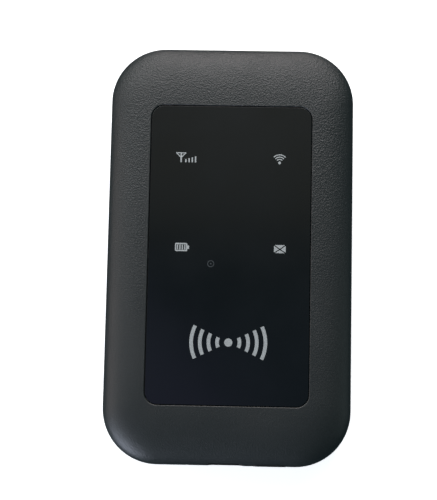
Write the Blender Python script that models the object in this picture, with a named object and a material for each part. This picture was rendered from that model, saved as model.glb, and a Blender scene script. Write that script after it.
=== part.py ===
"""Pocket mobile hotspot, lying on its back.

The origin is the centre of the back cover's flat face. +X is the width, +Y points to the end
that is away from the USB inlet, and +Z comes out of the display window. Every size below is in
millimetres, and each mesh is made in metres.
"""

import math

import bmesh
import bpy
from mathutils import Vector

MM = 0.001

# Overall shape
BODY_WIDTH = 58.0
BODY_LENGTH = 99.0
BODY_THICKNESS = 14.0
CORNER_RADIUS = 13.0
CORNER_STEPS = 6
CROWN_WIDTH = 9.0
CROWN_HEIGHT = 4.7
CROWN_EXPONENT = 2.6
CROWN_STEPS = 7
BACK_EDGE_WIDTH = 2.6
BACK_EDGE_HEIGHT = 3.2
BACK_EDGE_STEPS = 5

# Clearances
SEAM = 0.3
SLIDING_FIT = 0.15
SOLDER_GAP = 0.1
LABEL_GAP = 0.1

# Walls
HOUSING_WALL = 1.6
CAVITY_ROUND_WIDTH = 3.2
CAVITY_ROUND_HEIGHT = 1.4
TOP_WALL = 1.6
COVER_WALL = 1.3
COVER_FLOOR = 0.9
RIM_WALL = 0.6
LIP_DEPTH = 0.8
PLATE_THICKNESS = 1.0
BAY_WALL = 1.0

# Display window, measured from the outline
SIDE_BORDER = 10.1
TOP_BORDER = 14.8
BOTTOM_BORDER = 14.0
WINDOW_CORNER = 2.7
WINDOW_THICKNESS = 0.8
WINDOW_CHAMFER = 0.15
WINDOW_SET_DOWN = 0.2
TAPE_THICKNESS = 0.2
TAPE_WIDTH = 2.0
TAPE_EDGE = 0.4
PAN_FLOOR = 0.9
PAN_WALL = 1.4

# Status symbols, measured from the window's edges
SYMBOL_SIDE = 8.2
SYMBOL_TOP = 12.9
SYMBOL_ROW_STEP = 21.1

# Light pipes and light-emitting diodes
PIPE_WIDTH = 5.4
PIPE_LENGTH = 3.2
PIPE_LIP = 0.6
PIPE_FOOT = 0.5
LED_WIDTH = 1.6
LED_LENGTH = 0.8
LED_HEIGHT = 0.6

# Circuit board
BOARD_THICKNESS = 0.8
BOARD_INSET = 3.4
FRONT_PARTS_SPACE = 1.8
BACK_PARTS_SPACE = 1.5
SHIELD_HEIGHT = 1.3
SHIELD_SHEET = 0.2
SHIELD_GAP = 1.2
BASEBAND_SHIELD_EDGE = 11.0
RADIO_SHIELD_EDGE = 7.0
CHIP_HEIGHT = 0.8
CHIP_GAP = 1.2
CHIP_ROW = 16.0
CHIP_ROW_LENGTH = 10.0
MEMORY_CHIP_SHARE = 0.7
RADIO_CHIP_SHARE = 0.65
AMPLIFIER_SHARE = 0.45
# The chips of the lower row: (name, x, width, length, height, finish)
ROW_PARTS = (
    ("wireless_chip", -11.5, 7.0, 7.0, CHIP_HEIGHT, "chip_resin"),
    ("power_chip", 0.0, 6.0, 6.0, CHIP_HEIGHT, "chip_resin"),
    ("crystal", 7.5, 3.2, 2.5, 0.7, "tinned_steel"),
    ("inductor", 13.5, 4.0, 4.0, 1.2, "chip_resin"),
)

# Battery and its bay
BATTERY_GAP = 0.4
BATTERY_FLOOR_GAP = 0.5
BAY_FIT = 0.3
BAY_SIDE = 3.7
BAY_TOP = 13.2
BAY_BOTTOM = 19.2
FINGER_NOTCH_WIDTH = 14.0
BATTERY_CORNER = 1.5
BATTERY_EDGE = 0.5
LABEL_THICKNESS = 0.1
LABEL_MARGIN = 4.0

# Battery contacts
CONTACT_COUNT = 3
CONTACT_PITCH = 2.6
CONTACT_WIDTH = 0.9
CONTACT_SHEET = 0.2
CONTACT_REACH = 0.8
CONTACT_BLOCK_WIDTH = 9.0
CONTACT_BLOCK_DEPTH = 3.4
CONTACT_BLOCK_SIDE = 0.7
TERMINAL_WIDTH = 1.8
TERMINAL_MARGIN = 0.9
TERMINAL_THICKNESS = 0.3
TERMINAL_POCKET = 0.6

# Screws
BOSS_DEPTH = 7.6
BOSS_RADIUS = 2.0
PILOT_RADIUS = 0.95
SCREW_HEAD_RADIUS = 1.6
SCREW_HEAD_HEIGHT = 0.7
SCREW_SHANK_RADIUS = 0.8
SCREW_RECESS = 0.35
SCREW_SLOT = 0.45
SCREW_BITE = 2.6
SEAT_RADIUS = 3.0
SEAT_DEPTH = 1.4
BOARD_SCREW_EDGE = 4.1
POST_RADIUS = 1.2
POST_SPREAD = 10.0

# Snap tabs of the back cover
TAB_WIDTH = 5.0
TAB_THICKNESS = 0.8
TAB_HEIGHT = 1.6
TAB_ROOT = 1.2
TAB_SIDE_CORNER_GAP = 10.0
TAB_END_CORNER_GAP = 1.5
NAIL_NOTCH_WIDTH = 9.0
NAIL_NOTCH_HEIGHT = 0.9
NAIL_NOTCH_DEPTH = 0.8

# Micro USB inlet, at the middle of the bottom end
USB_WIDTH = 7.5
USB_HEIGHT = 2.45
USB_DEPTH = 5.0
USB_SHEET = 0.25
USB_SET_BACK = 0.5
USB_CHAMFER = 0.9
TONGUE_WIDTH = 3.6
TONGUE_HEIGHT = 0.65
TONGUE_LENGTH = 3.2
TONGUE_BASE = 1.0
TONGUE_BASE_HEIGHT = 0.8
TONGUE_RISE = 0.4

# Keys in the bottom end
KEY_INLET_GAP = 2.45
KEY_CORNER_GAP = 1.8
KEY_HEIGHT = 2.4
KEY_FLANGE = 0.4
KEY_FLANGE_THICKNESS = 0.6
KEY_SET_BACK = 0.05
KEY_TRAVEL = 0.3
RESET_INLET_GAP = 5.25
RESET_TRAVEL = 0.25
PINHOLE_RADIUS = 0.5
SWITCH_WIDTH = 4.6
SWITCH_DEPTH = 3.2
SWITCH_HEIGHT = 1.6
PLUNGER_WIDTH = 1.8
PLUNGER_HEIGHT = 0.9
PLUNGER_ENGAGED = 0.6

# Card sockets on the back of the board, open to the battery bay
SOCKET_HEIGHT = 1.2
SOCKET_X = 11.0
SOCKET_BAY_EDGE = 4.5
SIM_WIDTH = 14.6
SIM_LENGTH = 10.0
SIM_SLOT_WIDTH = 12.7
MEMORY_WIDTH = 13.4
MEMORY_LENGTH = 11.0
MEMORY_SLOT_WIDTH = 11.4
CARD_SLOT_HEIGHT = 0.75
CARD_SLOT_WALL = 1.4
CARD_SLIDE = 10.0

# Antennas
ANTENNA_THICKNESS = 0.8
MAIN_ANTENNA_BOSS_GAP = 2.8
MAIN_ANTENNA_DEPTH = 6.0
SIDE_ANTENNA_WIDTH = 3.6
SIDE_ANTENNA_LENGTH = 18.0
ANTENNA_SLOT = 0.6
ANTENNA_SLOT_SHARE = 0.8
ANTENNA_LIFT = 0.7
CLIP_WIDTH = 1.0
CLIP_SHEET = 0.15
CLIP_LENGTH = 2.0

# Heights that follow from the stack, from the window down
WINDOW_TOP = BODY_THICKNESS - WINDOW_SET_DOWN
WINDOW_BOTTOM = WINDOW_TOP - WINDOW_THICKNESS
TAPE_TOP = WINDOW_BOTTOM - SOLDER_GAP
TAPE_BOTTOM = TAPE_TOP - TAPE_THICKNESS
PAN_TOP = TAPE_BOTTOM - SOLDER_GAP
PAN_BOTTOM = PAN_TOP - PAN_FLOOR
BOARD_TOP = PAN_BOTTOM - FRONT_PARTS_SPACE
BOARD_BOTTOM = BOARD_TOP - BOARD_THICKNESS
PLATE_TOP = BOARD_BOTTOM - BACK_PARTS_SPACE
PLATE_BOTTOM = PLATE_TOP - PLATE_THICKNESS
HOUSING_BOTTOM = PLATE_BOTTOM - SEAM
COVER_TOP = HOUSING_BOTTOM - SEAM
LIP_BOTTOM = COVER_TOP - LIP_DEPTH
REBATE_BOTTOM = LIP_BOTTOM - SEAM
EDGE_TOP = min(BACK_EDGE_HEIGHT, REBATE_BOTTOM - TAB_ROOT)
BATTERY_TOP = PLATE_BOTTOM - BATTERY_GAP
BATTERY_BOTTOM = COVER_FLOOR + BATTERY_FLOOR_GAP
CAVITY_TOP = BODY_THICKNESS - TOP_WALL
CAVITY_ROUND_START = CAVITY_TOP - CAVITY_ROUND_HEIGHT
PORT_Z = (BOARD_TOP + BOARD_BOTTOM) / 2

# Places that follow from the outline
HALF_WIDTH = BODY_WIDTH / 2
HALF_LENGTH = BODY_LENGTH / 2
WINDOW_WIDTH = BODY_WIDTH - 2 * SIDE_BORDER
WINDOW_LENGTH = BODY_LENGTH - TOP_BORDER - BOTTOM_BORDER
WINDOW_Y = (BOTTOM_BORDER - TOP_BORDER) / 2
SYMBOL_X = WINDOW_WIDTH / 2 - SYMBOL_SIDE
SYMBOL_ROW = WINDOW_Y + WINDOW_LENGTH / 2 - SYMBOL_TOP
SYMBOL_PLACES = {
    "signal": (-SYMBOL_X, SYMBOL_ROW),
    "wireless": (SYMBOL_X, SYMBOL_ROW),
    "battery": (-SYMBOL_X, SYMBOL_ROW - SYMBOL_ROW_STEP),
    "message": (SYMBOL_X, SYMBOL_ROW - SYMBOL_ROW_STEP),
}
BOARD_HALF_WIDTH = HALF_WIDTH - BOARD_INSET
BOARD_HALF_LENGTH = HALF_LENGTH - BOARD_INSET
BAY_HALF_WIDTH = HALF_WIDTH - BAY_SIDE
BAY_HIGH_Y = HALF_LENGTH - BAY_TOP
BAY_LOW_Y = BAY_BOTTOM - HALF_LENGTH
BATTERY_WIDTH = 2 * (BAY_HALF_WIDTH - BAY_WALL - BAY_FIT)
BATTERY_LENGTH = BAY_HIGH_Y - BAY_LOW_Y - 2 * (BAY_WALL + BAY_FIT)
BATTERY_Y = (BAY_HIGH_Y + BAY_LOW_Y) / 2
BATTERY_LOW_Y = BATTERY_Y - BATTERY_LENGTH / 2
BATTERY_MID_Z = (BATTERY_TOP + BATTERY_BOTTOM) / 2
TERMINAL_HEIGHT = BATTERY_TOP - BATTERY_BOTTOM - 2 * TERMINAL_MARGIN
END_WALL_INSIDE = HOUSING_WALL - HALF_LENGTH
KEY_LEFT = USB_WIDTH / 2 + KEY_INLET_GAP
KEY_WIDTH = HALF_WIDTH - CORNER_RADIUS - KEY_CORNER_GAP - KEY_LEFT
KEY_X = KEY_LEFT + KEY_WIDTH / 2
RESET_X = -USB_WIDTH / 2 - RESET_INLET_GAP
BOARD_SCREW_X = BOARD_HALF_WIDTH - BOARD_SCREW_EDGE
BOARD_SCREW_Y = SYMBOL_ROW - SYMBOL_ROW_STEP / 2
SOCKET_LOW_Y = BAY_LOW_Y + BAY_WALL + SOCKET_BAY_EDGE
SIDE_TAB_Y = HALF_LENGTH - CORNER_RADIUS - TAB_SIDE_CORNER_GAP - TAB_WIDTH / 2
END_TAB_X = HALF_WIDTH - CORNER_RADIUS - TAB_END_CORNER_GAP - TAB_WIDTH / 2
SIDE_TAB_PLACES = (-SIDE_TAB_Y, SIDE_TAB_Y)
END_TAB_PLACES = (-END_TAB_X, END_TAB_X)

# Colour, roughness and metallic value of each finish
FINISHES = {
    "textured_plastic": ("3f4546", 0.62, 0.0),
    "black_plastic": ("1d1f20", 0.5, 0.0),
    "gloss_black": ("0c0d0f", 0.08, 0.0),
    "tape": ("111111", 0.8, 0.0),
    "clear_plastic": ("d8dadb", 0.15, 0.0),
    "led": ("f2efd8", 0.3, 0.0),
    "circuit_board": ("1f5a35", 0.45, 0.0),
    "tinned_steel": ("b9bcbf", 0.3, 1.0),
    "chip_resin": ("202226", 0.55, 0.0),
    "screw_steel": ("8d9094", 0.35, 1.0),
    "gold_contact": ("c9a24b", 0.25, 1.0),
    "flex_circuit": ("a8602c", 0.4, 0.2),
    "battery_wrap": ("30343c", 0.4, 0.0),
    "white_label": ("e9e9e6", 0.7, 0.0),
}


def clear_scene():
    for item in list(bpy.data.objects):
        bpy.data.objects.remove(item, do_unlink=True)


def linear(channel):
    """The linear value of an sRGB channel between 0 and 1."""
    if channel <= 0.04045:
        return channel / 12.92
    return ((channel + 0.055) / 1.055) ** 2.4


def make_material(name, finish):
    code, roughness, metallic = FINISHES[finish]
    red, green, blue = (linear(int(code[i:i + 2], 16) / 255) for i in (0, 2, 4))
    material = bpy.data.materials.new(name)
    material.use_nodes = True
    shader = material.node_tree.nodes["Principled BSDF"]
    shader.inputs["Base Color"].default_value = (red, green, blue, 1)
    shader.inputs["Roughness"].default_value = roughness
    shader.inputs["Metallic"].default_value = metallic
    return material


def rounded_rectangle(width, length, radius, centre=(0, 0), steps=CORNER_STEPS):
    """The points of a rounded rectangle, anticlockwise, with the same count for every size."""
    points = []
    quarter = math.pi / 2
    for corner, (side_x, side_y) in enumerate(((1, 1), (-1, 1), (-1, -1), (1, -1))):
        corner_x = centre[0] + side_x * (width / 2 - radius)
        corner_y = centre[1] + side_y * (length / 2 - radius)
        for step in range(steps + 1):
            angle = (corner + step / steps) * quarter
            x = corner_x + radius * math.cos(angle)
            y = corner_y + radius * math.sin(angle)
            points.append((x, y))
    return points


def body_outline(inset):
    return rounded_rectangle(BODY_WIDTH - 2 * inset, BODY_LENGTH - 2 * inset, CORNER_RADIUS - inset)


def window_outline(margin):
    """The display window's outline, grown outward by the margin."""
    width = WINDOW_WIDTH + 2 * margin
    length = WINDOW_LENGTH + 2 * margin
    return rounded_rectangle(width, length, WINDOW_CORNER + margin, (0, WINDOW_Y), steps=4)


def rectangle(width, length, centre=(0, 0)):
    x, y = centre
    return [
        (x + width / 2, y + length / 2),
        (x - width / 2, y + length / 2),
        (x - width / 2, y - length / 2),
        (x + width / 2, y - length / 2),
    ]


def circle(radius, centre=(0, 0), steps=16):
    turns = [2 * math.pi * step / steps for step in range(steps)]
    return [(centre[0] + radius * math.cos(a), centre[1] + radius * math.sin(a)) for a in turns]


def capsule(width, height, centre):
    return rounded_rectangle(width, height, height * 0.499, centre, steps=4)


def edge_curve(width, height, exponent, steps):
    """(inset, rise) along a superellipse that leaves a wall upright and ends level."""
    curve = []
    for step in range(steps + 1):
        angle = math.pi / 2 * step / steps
        inset = width * (1 - math.cos(angle) ** (2 / exponent))
        rise = height * math.sin(angle) ** (2 / exponent)
        curve.append((inset, rise))
    return curve


def band(path, thickness):
    """The outline of a bent strip of sheet whose middle follows the path."""
    left, right = [], []
    for index, point in enumerate(path):
        here = Vector(point)
        before = Vector(path[max(index - 1, 0)])
        after = Vector(path[min(index + 1, len(path) - 1)])
        arriving = (here - before).normalized() if index else (after - here).normalized()
        leaving = (after - here).normalized() if index + 1 < len(path) else arriving
        middle = (arriving + leaving).normalized()
        reach = thickness / 2 / max(middle.dot(leaving), 0.5)
        side = Vector((-middle.y, middle.x)) * reach
        left.append(tuple(here + side))
        right.append(tuple(here - side))
    return left + right[::-1]


def level(outline, low, high):
    """Two sections that make a straight prism."""
    return [(outline, low), (outline, high)]


def loft(sections, axis="Z", origin=(0, 0, 0)):
    """A closed mesh through (outline, height) sections, each with the same number of points.

    Along Z an outline is (x, y), along Y it is (x, z), and along X it is (y, z).
    """
    orders = {"Z": (0, 1, 2), "Y": (0, 2, 1), "X": (2, 0, 1)}
    order = orders[axis]
    shape = bmesh.new()
    rings = []
    for outline, height in sections:
        ring = []
        for point in outline:
            values = (point[0], point[1], height)
            place = Vector([values[index] for index in order]) - Vector(origin)
            ring.append(shape.verts.new(place * MM))
        rings.append(ring)
    for lower, upper in zip(rings, rings[1:]):
        for index in range(len(lower)):
            nearby = (index + 1) % len(lower)
            shape.faces.new((lower[index], lower[nearby], upper[nearby], upper[index]))
    shape.faces.new(rings[0])
    shape.faces.new(rings[-1])
    bmesh.ops.recalc_face_normals(shape, faces=shape.faces)
    mesh = bpy.data.meshes.new("mesh")
    shape.to_mesh(mesh)
    shape.free()
    return mesh


def add_object(name, mesh, origin, parent=None):
    item = bpy.data.objects.new(name, mesh)
    bpy.context.collection.objects.link(item)
    item.location = Vector(origin) * MM
    if parent:
        item.parent = parent
        item.location -= parent.location
    return item


def add_piece(name, finish, sections, axis="Z", origin=(0, 0, 0), parent=None, smooth=False):
    mesh = loft(sections, axis, origin)
    mesh.name = name
    mesh.materials.append(make_material(name + "_" + finish, finish))
    if smooth:
        mesh.shade_smooth()
        mesh.set_sharp_from_angle(angle=math.radians(35))
    return add_object(name, mesh, origin, parent)


def add_empty(name, origin):
    return add_object(name, None, origin)


def add_tool(target, suffix, sections, axis, operation):
    """A hidden shape that is cut from the target or joined to it."""
    tool = add_object(target.name + "_" + suffix, loft(sections, axis), (0, 0, 0))
    tool.hide_render = True
    tool.display_type = "WIRE"
    modifier = target.modifiers.new(suffix, "BOOLEAN")
    modifier.operation = operation
    modifier.solver = "EXACT"
    modifier.object = tool


def cut(target, suffix, sections, axis="Z"):
    add_tool(target, suffix, sections, axis, "DIFFERENCE")


def join(target, suffix, sections, axis="Z"):
    add_tool(target, suffix, sections, axis, "UNION")


def boss_places():
    """The screw bosses, on the diagonal of each corner of the body."""
    reach = (CORNER_RADIUS - BOSS_DEPTH) * math.cos(math.pi / 4)
    x = HALF_WIDTH - CORNER_RADIUS + reach
    y = HALF_LENGTH - CORNER_RADIUS + reach
    return [(-x, -y), (x, -y), (x, y), (-x, y)]


def board_screw_places():
    return [(-BOARD_SCREW_X, BOARD_SCREW_Y), (BOARD_SCREW_X, BOARD_SCREW_Y)]


def post_places():
    """The rear housing's posts under the board, on both sides of each board screw."""
    return [(x, y + step) for x, y in board_screw_places() for step in (-POST_SPREAD, POST_SPREAD)]


def inlet_outline(margin):
    """The micro USB shape in (x, z): a rectangle whose two lower corners are cut off."""
    half = USB_WIDTH / 2 + margin
    low = PORT_Z - USB_HEIGHT / 2 - margin
    high = PORT_Z + USB_HEIGHT / 2 + margin
    return [
        (half, high),
        (-half, high),
        (-half, low + USB_CHAMFER),
        (USB_CHAMFER - half, low),
        (half - USB_CHAMFER, low),
        (half, low + USB_CHAMFER),
    ]


def build_front_housing():
    lip = body_outline(RIM_WALL + SLIDING_FIT)
    sections = [(lip, LIP_BOTTOM), (lip, HOUSING_BOTTOM), (body_outline(0), HOUSING_BOTTOM)]
    start = BODY_THICKNESS - CROWN_HEIGHT
    for inset, rise in edge_curve(CROWN_WIDTH, CROWN_HEIGHT, CROWN_EXPONENT, CROWN_STEPS):
        sections.append((body_outline(inset), start + rise))
    housing = add_piece("front_housing", "textured_plastic", sections, smooth=True)

    cavity = [(body_outline(HOUSING_WALL), LIP_BOTTOM - 1)]
    for inset, rise in edge_curve(CAVITY_ROUND_WIDTH, CAVITY_ROUND_HEIGHT, 2, 3):
        cavity.append((body_outline(HOUSING_WALL + inset), CAVITY_ROUND_START + rise))
    cut(housing, "cavity", cavity)
    join(housing, "pan", level(window_outline(PAN_WALL), PAN_BOTTOM, CAVITY_TOP + TOP_WALL / 3))

    boss_top = CAVITY_TOP + TOP_WALL / 4
    for number, place in enumerate(boss_places(), 1):
        boss = level(circle(BOSS_RADIUS, place), PLATE_TOP + SEAM, boss_top)
        join(housing, f"boss_{number}", boss)
    for number, place in enumerate(board_screw_places(), 1):
        boss = level(circle(BOSS_RADIUS, place), BOARD_TOP + SEAM, boss_top)
        join(housing, f"board_boss_{number}", boss)

    recess = level(window_outline(SLIDING_FIT), PAN_TOP, BODY_THICKNESS + 1)
    cut(housing, "recess", recess)
    pilots = [(place, PLATE_TOP) for place in boss_places()]
    pilots += [(place, BOARD_TOP) for place in board_screw_places()]
    for number, (place, low) in enumerate(pilots, 1):
        pilot = level(circle(PILOT_RADIUS, place, 12), low, CAVITY_TOP - SEAM)
        cut(housing, f"pilot_{number}", pilot)
    for symbol, place in SYMBOL_PLACES.items():
        width = PIPE_WIDTH + 2 * SLIDING_FIT
        length = PIPE_LENGTH + 2 * SLIDING_FIT
        cut(housing, f"{symbol}_hole", level(rectangle(width, length, place), PAN_BOTTOM - 1, PAN_TOP + 1))

    outside = -HALF_LENGTH - 1
    inside = END_WALL_INSIDE + 1
    cut(housing, "usb_hole", level(inlet_outline(SEAM), outside, inside), "Y")
    key_hole = capsule(KEY_WIDTH + 2 * SLIDING_FIT, KEY_HEIGHT + 2 * SLIDING_FIT, (KEY_X, PORT_Z))
    cut(housing, "key_hole", level(key_hole, outside, inside), "Y")
    cut(housing, "pinhole", level(circle(PINHOLE_RADIUS, (RESET_X, PORT_Z), 12), outside, inside), "Y")


def build_window():
    sections = [
        (window_outline(0), WINDOW_BOTTOM),
        (window_outline(0), WINDOW_TOP - WINDOW_CHAMFER),
        (window_outline(-WINDOW_CHAMFER), WINDOW_TOP),
    ]
    add_piece("display_window", "gloss_black", sections)
    frame = add_piece("window_adhesive", "tape", level(window_outline(-TAPE_EDGE), TAPE_BOTTOM, TAPE_TOP))
    opening = window_outline(-TAPE_EDGE - TAPE_WIDTH)
    cut(frame, "opening", level(opening, TAPE_BOTTOM - 1, TAPE_TOP + 1))


def build_lights():
    """A light-emitting diode on the board under each symbol, and the light pipe above it."""
    pipe_top = PAN_TOP - SOLDER_GAP
    foot_top = PAN_BOTTOM - SEAM
    led_bottom = BOARD_TOP + SOLDER_GAP
    for symbol, place in SYMBOL_PLACES.items():
        foot = rectangle(PIPE_WIDTH + 2 * PIPE_LIP, PIPE_LENGTH + 2 * PIPE_LIP, place)
        stem = rectangle(PIPE_WIDTH, PIPE_LENGTH, place)
        pipe = [(foot, foot_top - PIPE_FOOT), (foot, foot_top), (stem, foot_top), (stem, pipe_top)]
        origin = (*place, foot_top)
        add_piece(f"light_pipe_{symbol}", "clear_plastic", pipe, origin=origin)
        led = level(rectangle(LED_WIDTH, LED_LENGTH, place), led_bottom, led_bottom + LED_HEIGHT)
        add_piece(f"led_{symbol}", "led", led, origin=(*place, led_bottom))


def build_board():
    shape = level(body_outline(BOARD_INSET), BOARD_BOTTOM, BOARD_TOP)
    board = add_piece("main_board", "circuit_board", shape)
    low, high = BOARD_BOTTOM - 1, BOARD_TOP + 1
    for number, place in enumerate(boss_places(), 1):
        cut(board, f"boss_hole_{number}", level(circle(BOSS_RADIUS + SEAM, place), low, high))
    for number, place in enumerate(board_screw_places(), 1):
        hole = level(circle(SCREW_SHANK_RADIUS + SEAM, place, 12), low, high)
        cut(board, f"screw_hole_{number}", hole)

    edge = -BOARD_HALF_LENGTH - 1
    usb_end = USB_SET_BACK - HALF_LENGTH + USB_DEPTH + SEAM
    switch_end = switch_front() + SWITCH_DEPTH + SEAM
    notches = (
        ("usb", 0, USB_WIDTH, usb_end),
        ("power_switch", KEY_X, SWITCH_WIDTH, switch_end),
        ("reset_switch", RESET_X, SWITCH_WIDTH, switch_end),
    )
    for name, x, width, end in notches:
        notch = rectangle(width + 2 * SEAM, end - edge, (x, (edge + end) / 2))
        cut(board, f"{name}_notch", level(notch, low, high))


def add_chip(name, width, length, place, height=CHIP_HEIGHT, finish="chip_resin"):
    """A rectangular part soldered to the front of the board."""
    low = BOARD_TOP + SOLDER_GAP
    chip = level(rectangle(width, length, place), low, low + height)
    add_piece(name, finish, chip, origin=(*place, low))


def add_shield(name, width, length, place):
    low = BOARD_TOP + SOLDER_GAP
    origin = (*place, low)
    can = level(rectangle(width, length, place), low, low + SHIELD_HEIGHT)
    shield = add_piece(name, "tinned_steel", can, origin=origin)
    inner = rectangle(width - 2 * SHIELD_SHEET, length - 2 * SHIELD_SHEET, place)
    cut(shield, "inside", level(inner, low - 1, low + SHIELD_HEIGHT - SHIELD_SHEET))


def build_chips():
    """Two shielded groups of chips in the middle of the board, and a row of chips below them."""
    foot_half = PIPE_LENGTH / 2 + PIPE_LIP
    lower_row = SYMBOL_ROW - SYMBOL_ROW_STEP
    baseband_width = 2 * (BOARD_HALF_WIDTH - BASEBAND_SHIELD_EDGE)
    baseband_length = SYMBOL_ROW_STEP - 2 * (foot_half + SHIELD_GAP)
    baseband_place = (0, SYMBOL_ROW - SYMBOL_ROW_STEP / 2)
    add_shield("baseband_shield", baseband_width, baseband_length, baseband_place)
    chip_width = (baseband_width - 3 * CHIP_GAP) / 2
    chip_length = baseband_length - 2 * CHIP_GAP
    chip_x = (chip_width + CHIP_GAP) / 2
    add_chip("baseband_chip", chip_width, chip_length, (-chip_x, baseband_place[1]))
    memory_length = chip_length * MEMORY_CHIP_SHARE
    add_chip("memory_chip", chip_width, memory_length, (chip_x, baseband_place[1]))

    row_y = CHIP_ROW - BOARD_HALF_LENGTH
    radio_width = 2 * (BOARD_HALF_WIDTH - RADIO_SHIELD_EDGE)
    radio_high = lower_row - foot_half - SHIELD_GAP
    radio_low = row_y + CHIP_ROW_LENGTH / 2 + SHIELD_GAP
    radio_place = (0, (radio_high + radio_low) / 2)
    add_shield("radio_shield", radio_width, radio_high - radio_low, radio_place)
    half_width = (radio_width - 3 * CHIP_GAP) / 2
    inner_length = radio_high - radio_low - 2 * CHIP_GAP
    radio_x = (half_width + CHIP_GAP) / 2
    chips = (("radio_chip", -radio_x, RADIO_CHIP_SHARE), ("power_amplifier", radio_x, AMPLIFIER_SHARE))
    for name, x, share in chips:
        add_chip(name, half_width * share, inner_length * share, (x, radio_place[1]))
    for name, x, width, length, height, finish in ROW_PARTS:
        add_chip(name, width, length, (x, row_y), height, finish)


def build_usb_inlet():
    front = USB_SET_BACK - HALF_LENGTH
    back = front + USB_DEPTH
    origin = (0, front, PORT_Z)
    shell = add_piece("usb_shell", "tinned_steel", level(inlet_outline(0), front, back), "Y", origin)
    cut(shell, "mouth", level(inlet_outline(-USB_SHEET), front - 1, back - USB_SHEET), "Y")
    fit = USB_SHEET + SOLDER_GAP
    base_front = back - fit - TONGUE_BASE
    centre = (0, PORT_Z + TONGUE_RISE)
    base = rectangle(USB_WIDTH - 2 * fit, TONGUE_BASE_HEIGHT, centre)
    blade = rectangle(TONGUE_WIDTH, TONGUE_HEIGHT, centre)
    tongue = [
        (base, back - fit),
        (base, base_front),
        (blade, base_front),
        (blade, base_front - TONGUE_LENGTH),
    ]
    add_piece("usb_tongue", "black_plastic", tongue, "Y", origin)


def key_back():
    """Where the power button's flange ends, at rest."""
    return END_WALL_INSIDE + SEAM + KEY_FLANGE_THICKNESS


def plunger_front():
    return key_back() + SEAM


def switch_front():
    """The switch bodies' front face: it leaves the plungers their travel and a gap."""
    return plunger_front() + KEY_TRAVEL + SEAM


def add_switch(name, x, travel):
    """A side-push switch body sunk in the board, with a pocket for its plunger."""
    front = switch_front()
    origin = (x, front, PORT_Z)
    box = level(rectangle(SWITCH_WIDTH, SWITCH_HEIGHT, (x, PORT_Z)), front, front + SWITCH_DEPTH)
    body = add_piece(f"{name}_switch_body", "black_plastic", box, "Y", origin)
    gap = 2 * SLIDING_FIT
    pocket = rectangle(PLUNGER_WIDTH + gap, PLUNGER_HEIGHT + gap, (x, PORT_Z))
    pocket_end = front + PLUNGER_ENGAGED + travel + SEAM
    cut(body, "pocket", level(pocket, front - 1, pocket_end), "Y")


def add_plunger(name, x, parent):
    shape = rectangle(PLUNGER_WIDTH, PLUNGER_HEIGHT, (x, PORT_Z))
    sections = level(shape, plunger_front(), switch_front() + PLUNGER_ENGAGED)
    origin = (x, plunger_front(), PORT_Z)
    add_piece(f"{name}_switch_plunger", "black_plastic", sections, "Y", origin, parent)


def build_keys():
    power_key = add_empty("power_key", (KEY_X, -HALF_LENGTH, PORT_Z))
    place = (KEY_X, PORT_Z)
    flange = capsule(KEY_WIDTH + 2 * KEY_FLANGE, KEY_HEIGHT + 2 * KEY_FLANGE, place)
    face = capsule(KEY_WIDTH, KEY_HEIGHT, place)
    flange_front = key_back() - KEY_FLANGE_THICKNESS
    sections = [
        (flange, key_back()),
        (flange, flange_front),
        (face, flange_front),
        (face, KEY_SET_BACK - HALF_LENGTH),
    ]
    origin = (KEY_X, -HALF_LENGTH, PORT_Z)
    add_piece("power_button", "black_plastic", sections, "Y", origin, power_key, smooth=True)
    add_plunger("power", KEY_X, power_key)
    add_switch("power", KEY_X, KEY_TRAVEL)

    reset_key = add_empty("reset_key", (RESET_X, -HALF_LENGTH, PORT_Z))
    add_plunger("reset", RESET_X, reset_key)
    add_switch("reset", RESET_X, RESET_TRAVEL)


def add_card_socket(name, x, width, length, slot_width):
    """A flat socket on the back of the board, open towards the middle of the bay."""
    high = BOARD_BOTTOM - SOLDER_GAP
    centre = (x, SOCKET_LOW_Y + length / 2)
    origin = (*centre, high)
    body = level(rectangle(width, length, centre), high - SOCKET_HEIGHT, high)
    socket = add_piece(name, "tinned_steel", body, origin=origin)
    slot_low = SOCKET_LOW_Y + CARD_SLOT_WALL
    slot_high = SOCKET_LOW_Y + length + 1
    slot = rectangle(slot_width, slot_high - slot_low, (x, (slot_low + slot_high) / 2))
    middle = high - SOCKET_HEIGHT / 2
    cut(socket, "slot", level(slot, middle - CARD_SLOT_HEIGHT / 2, middle + CARD_SLOT_HEIGHT / 2))


def build_card_sockets():
    add_card_socket("sim_socket", -SOCKET_X, SIM_WIDTH, SIM_LENGTH, SIM_SLOT_WIDTH)
    add_card_socket("memory_card_socket", SOCKET_X, MEMORY_WIDTH, MEMORY_LENGTH, MEMORY_SLOT_WIDTH)


def tab_outline(half, side):
    """A snap tab in (outward, z): a root on the cover's wall and a tongue inside the housing."""
    outer = half - HOUSING_WALL - SEAM
    inner = outer - TAB_THICKNESS
    root = half - COVER_WALL / 2
    points = [
        (root, REBATE_BOTTOM - TAB_ROOT),
        (root, REBATE_BOTTOM),
        (outer, REBATE_BOTTOM),
        (outer, COVER_TOP + TAB_HEIGHT),
        (inner, COVER_TOP + TAB_HEIGHT),
        (inner, REBATE_BOTTOM - TAB_ROOT),
    ]
    return [(side * outward, z) for outward, z in points]


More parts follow.
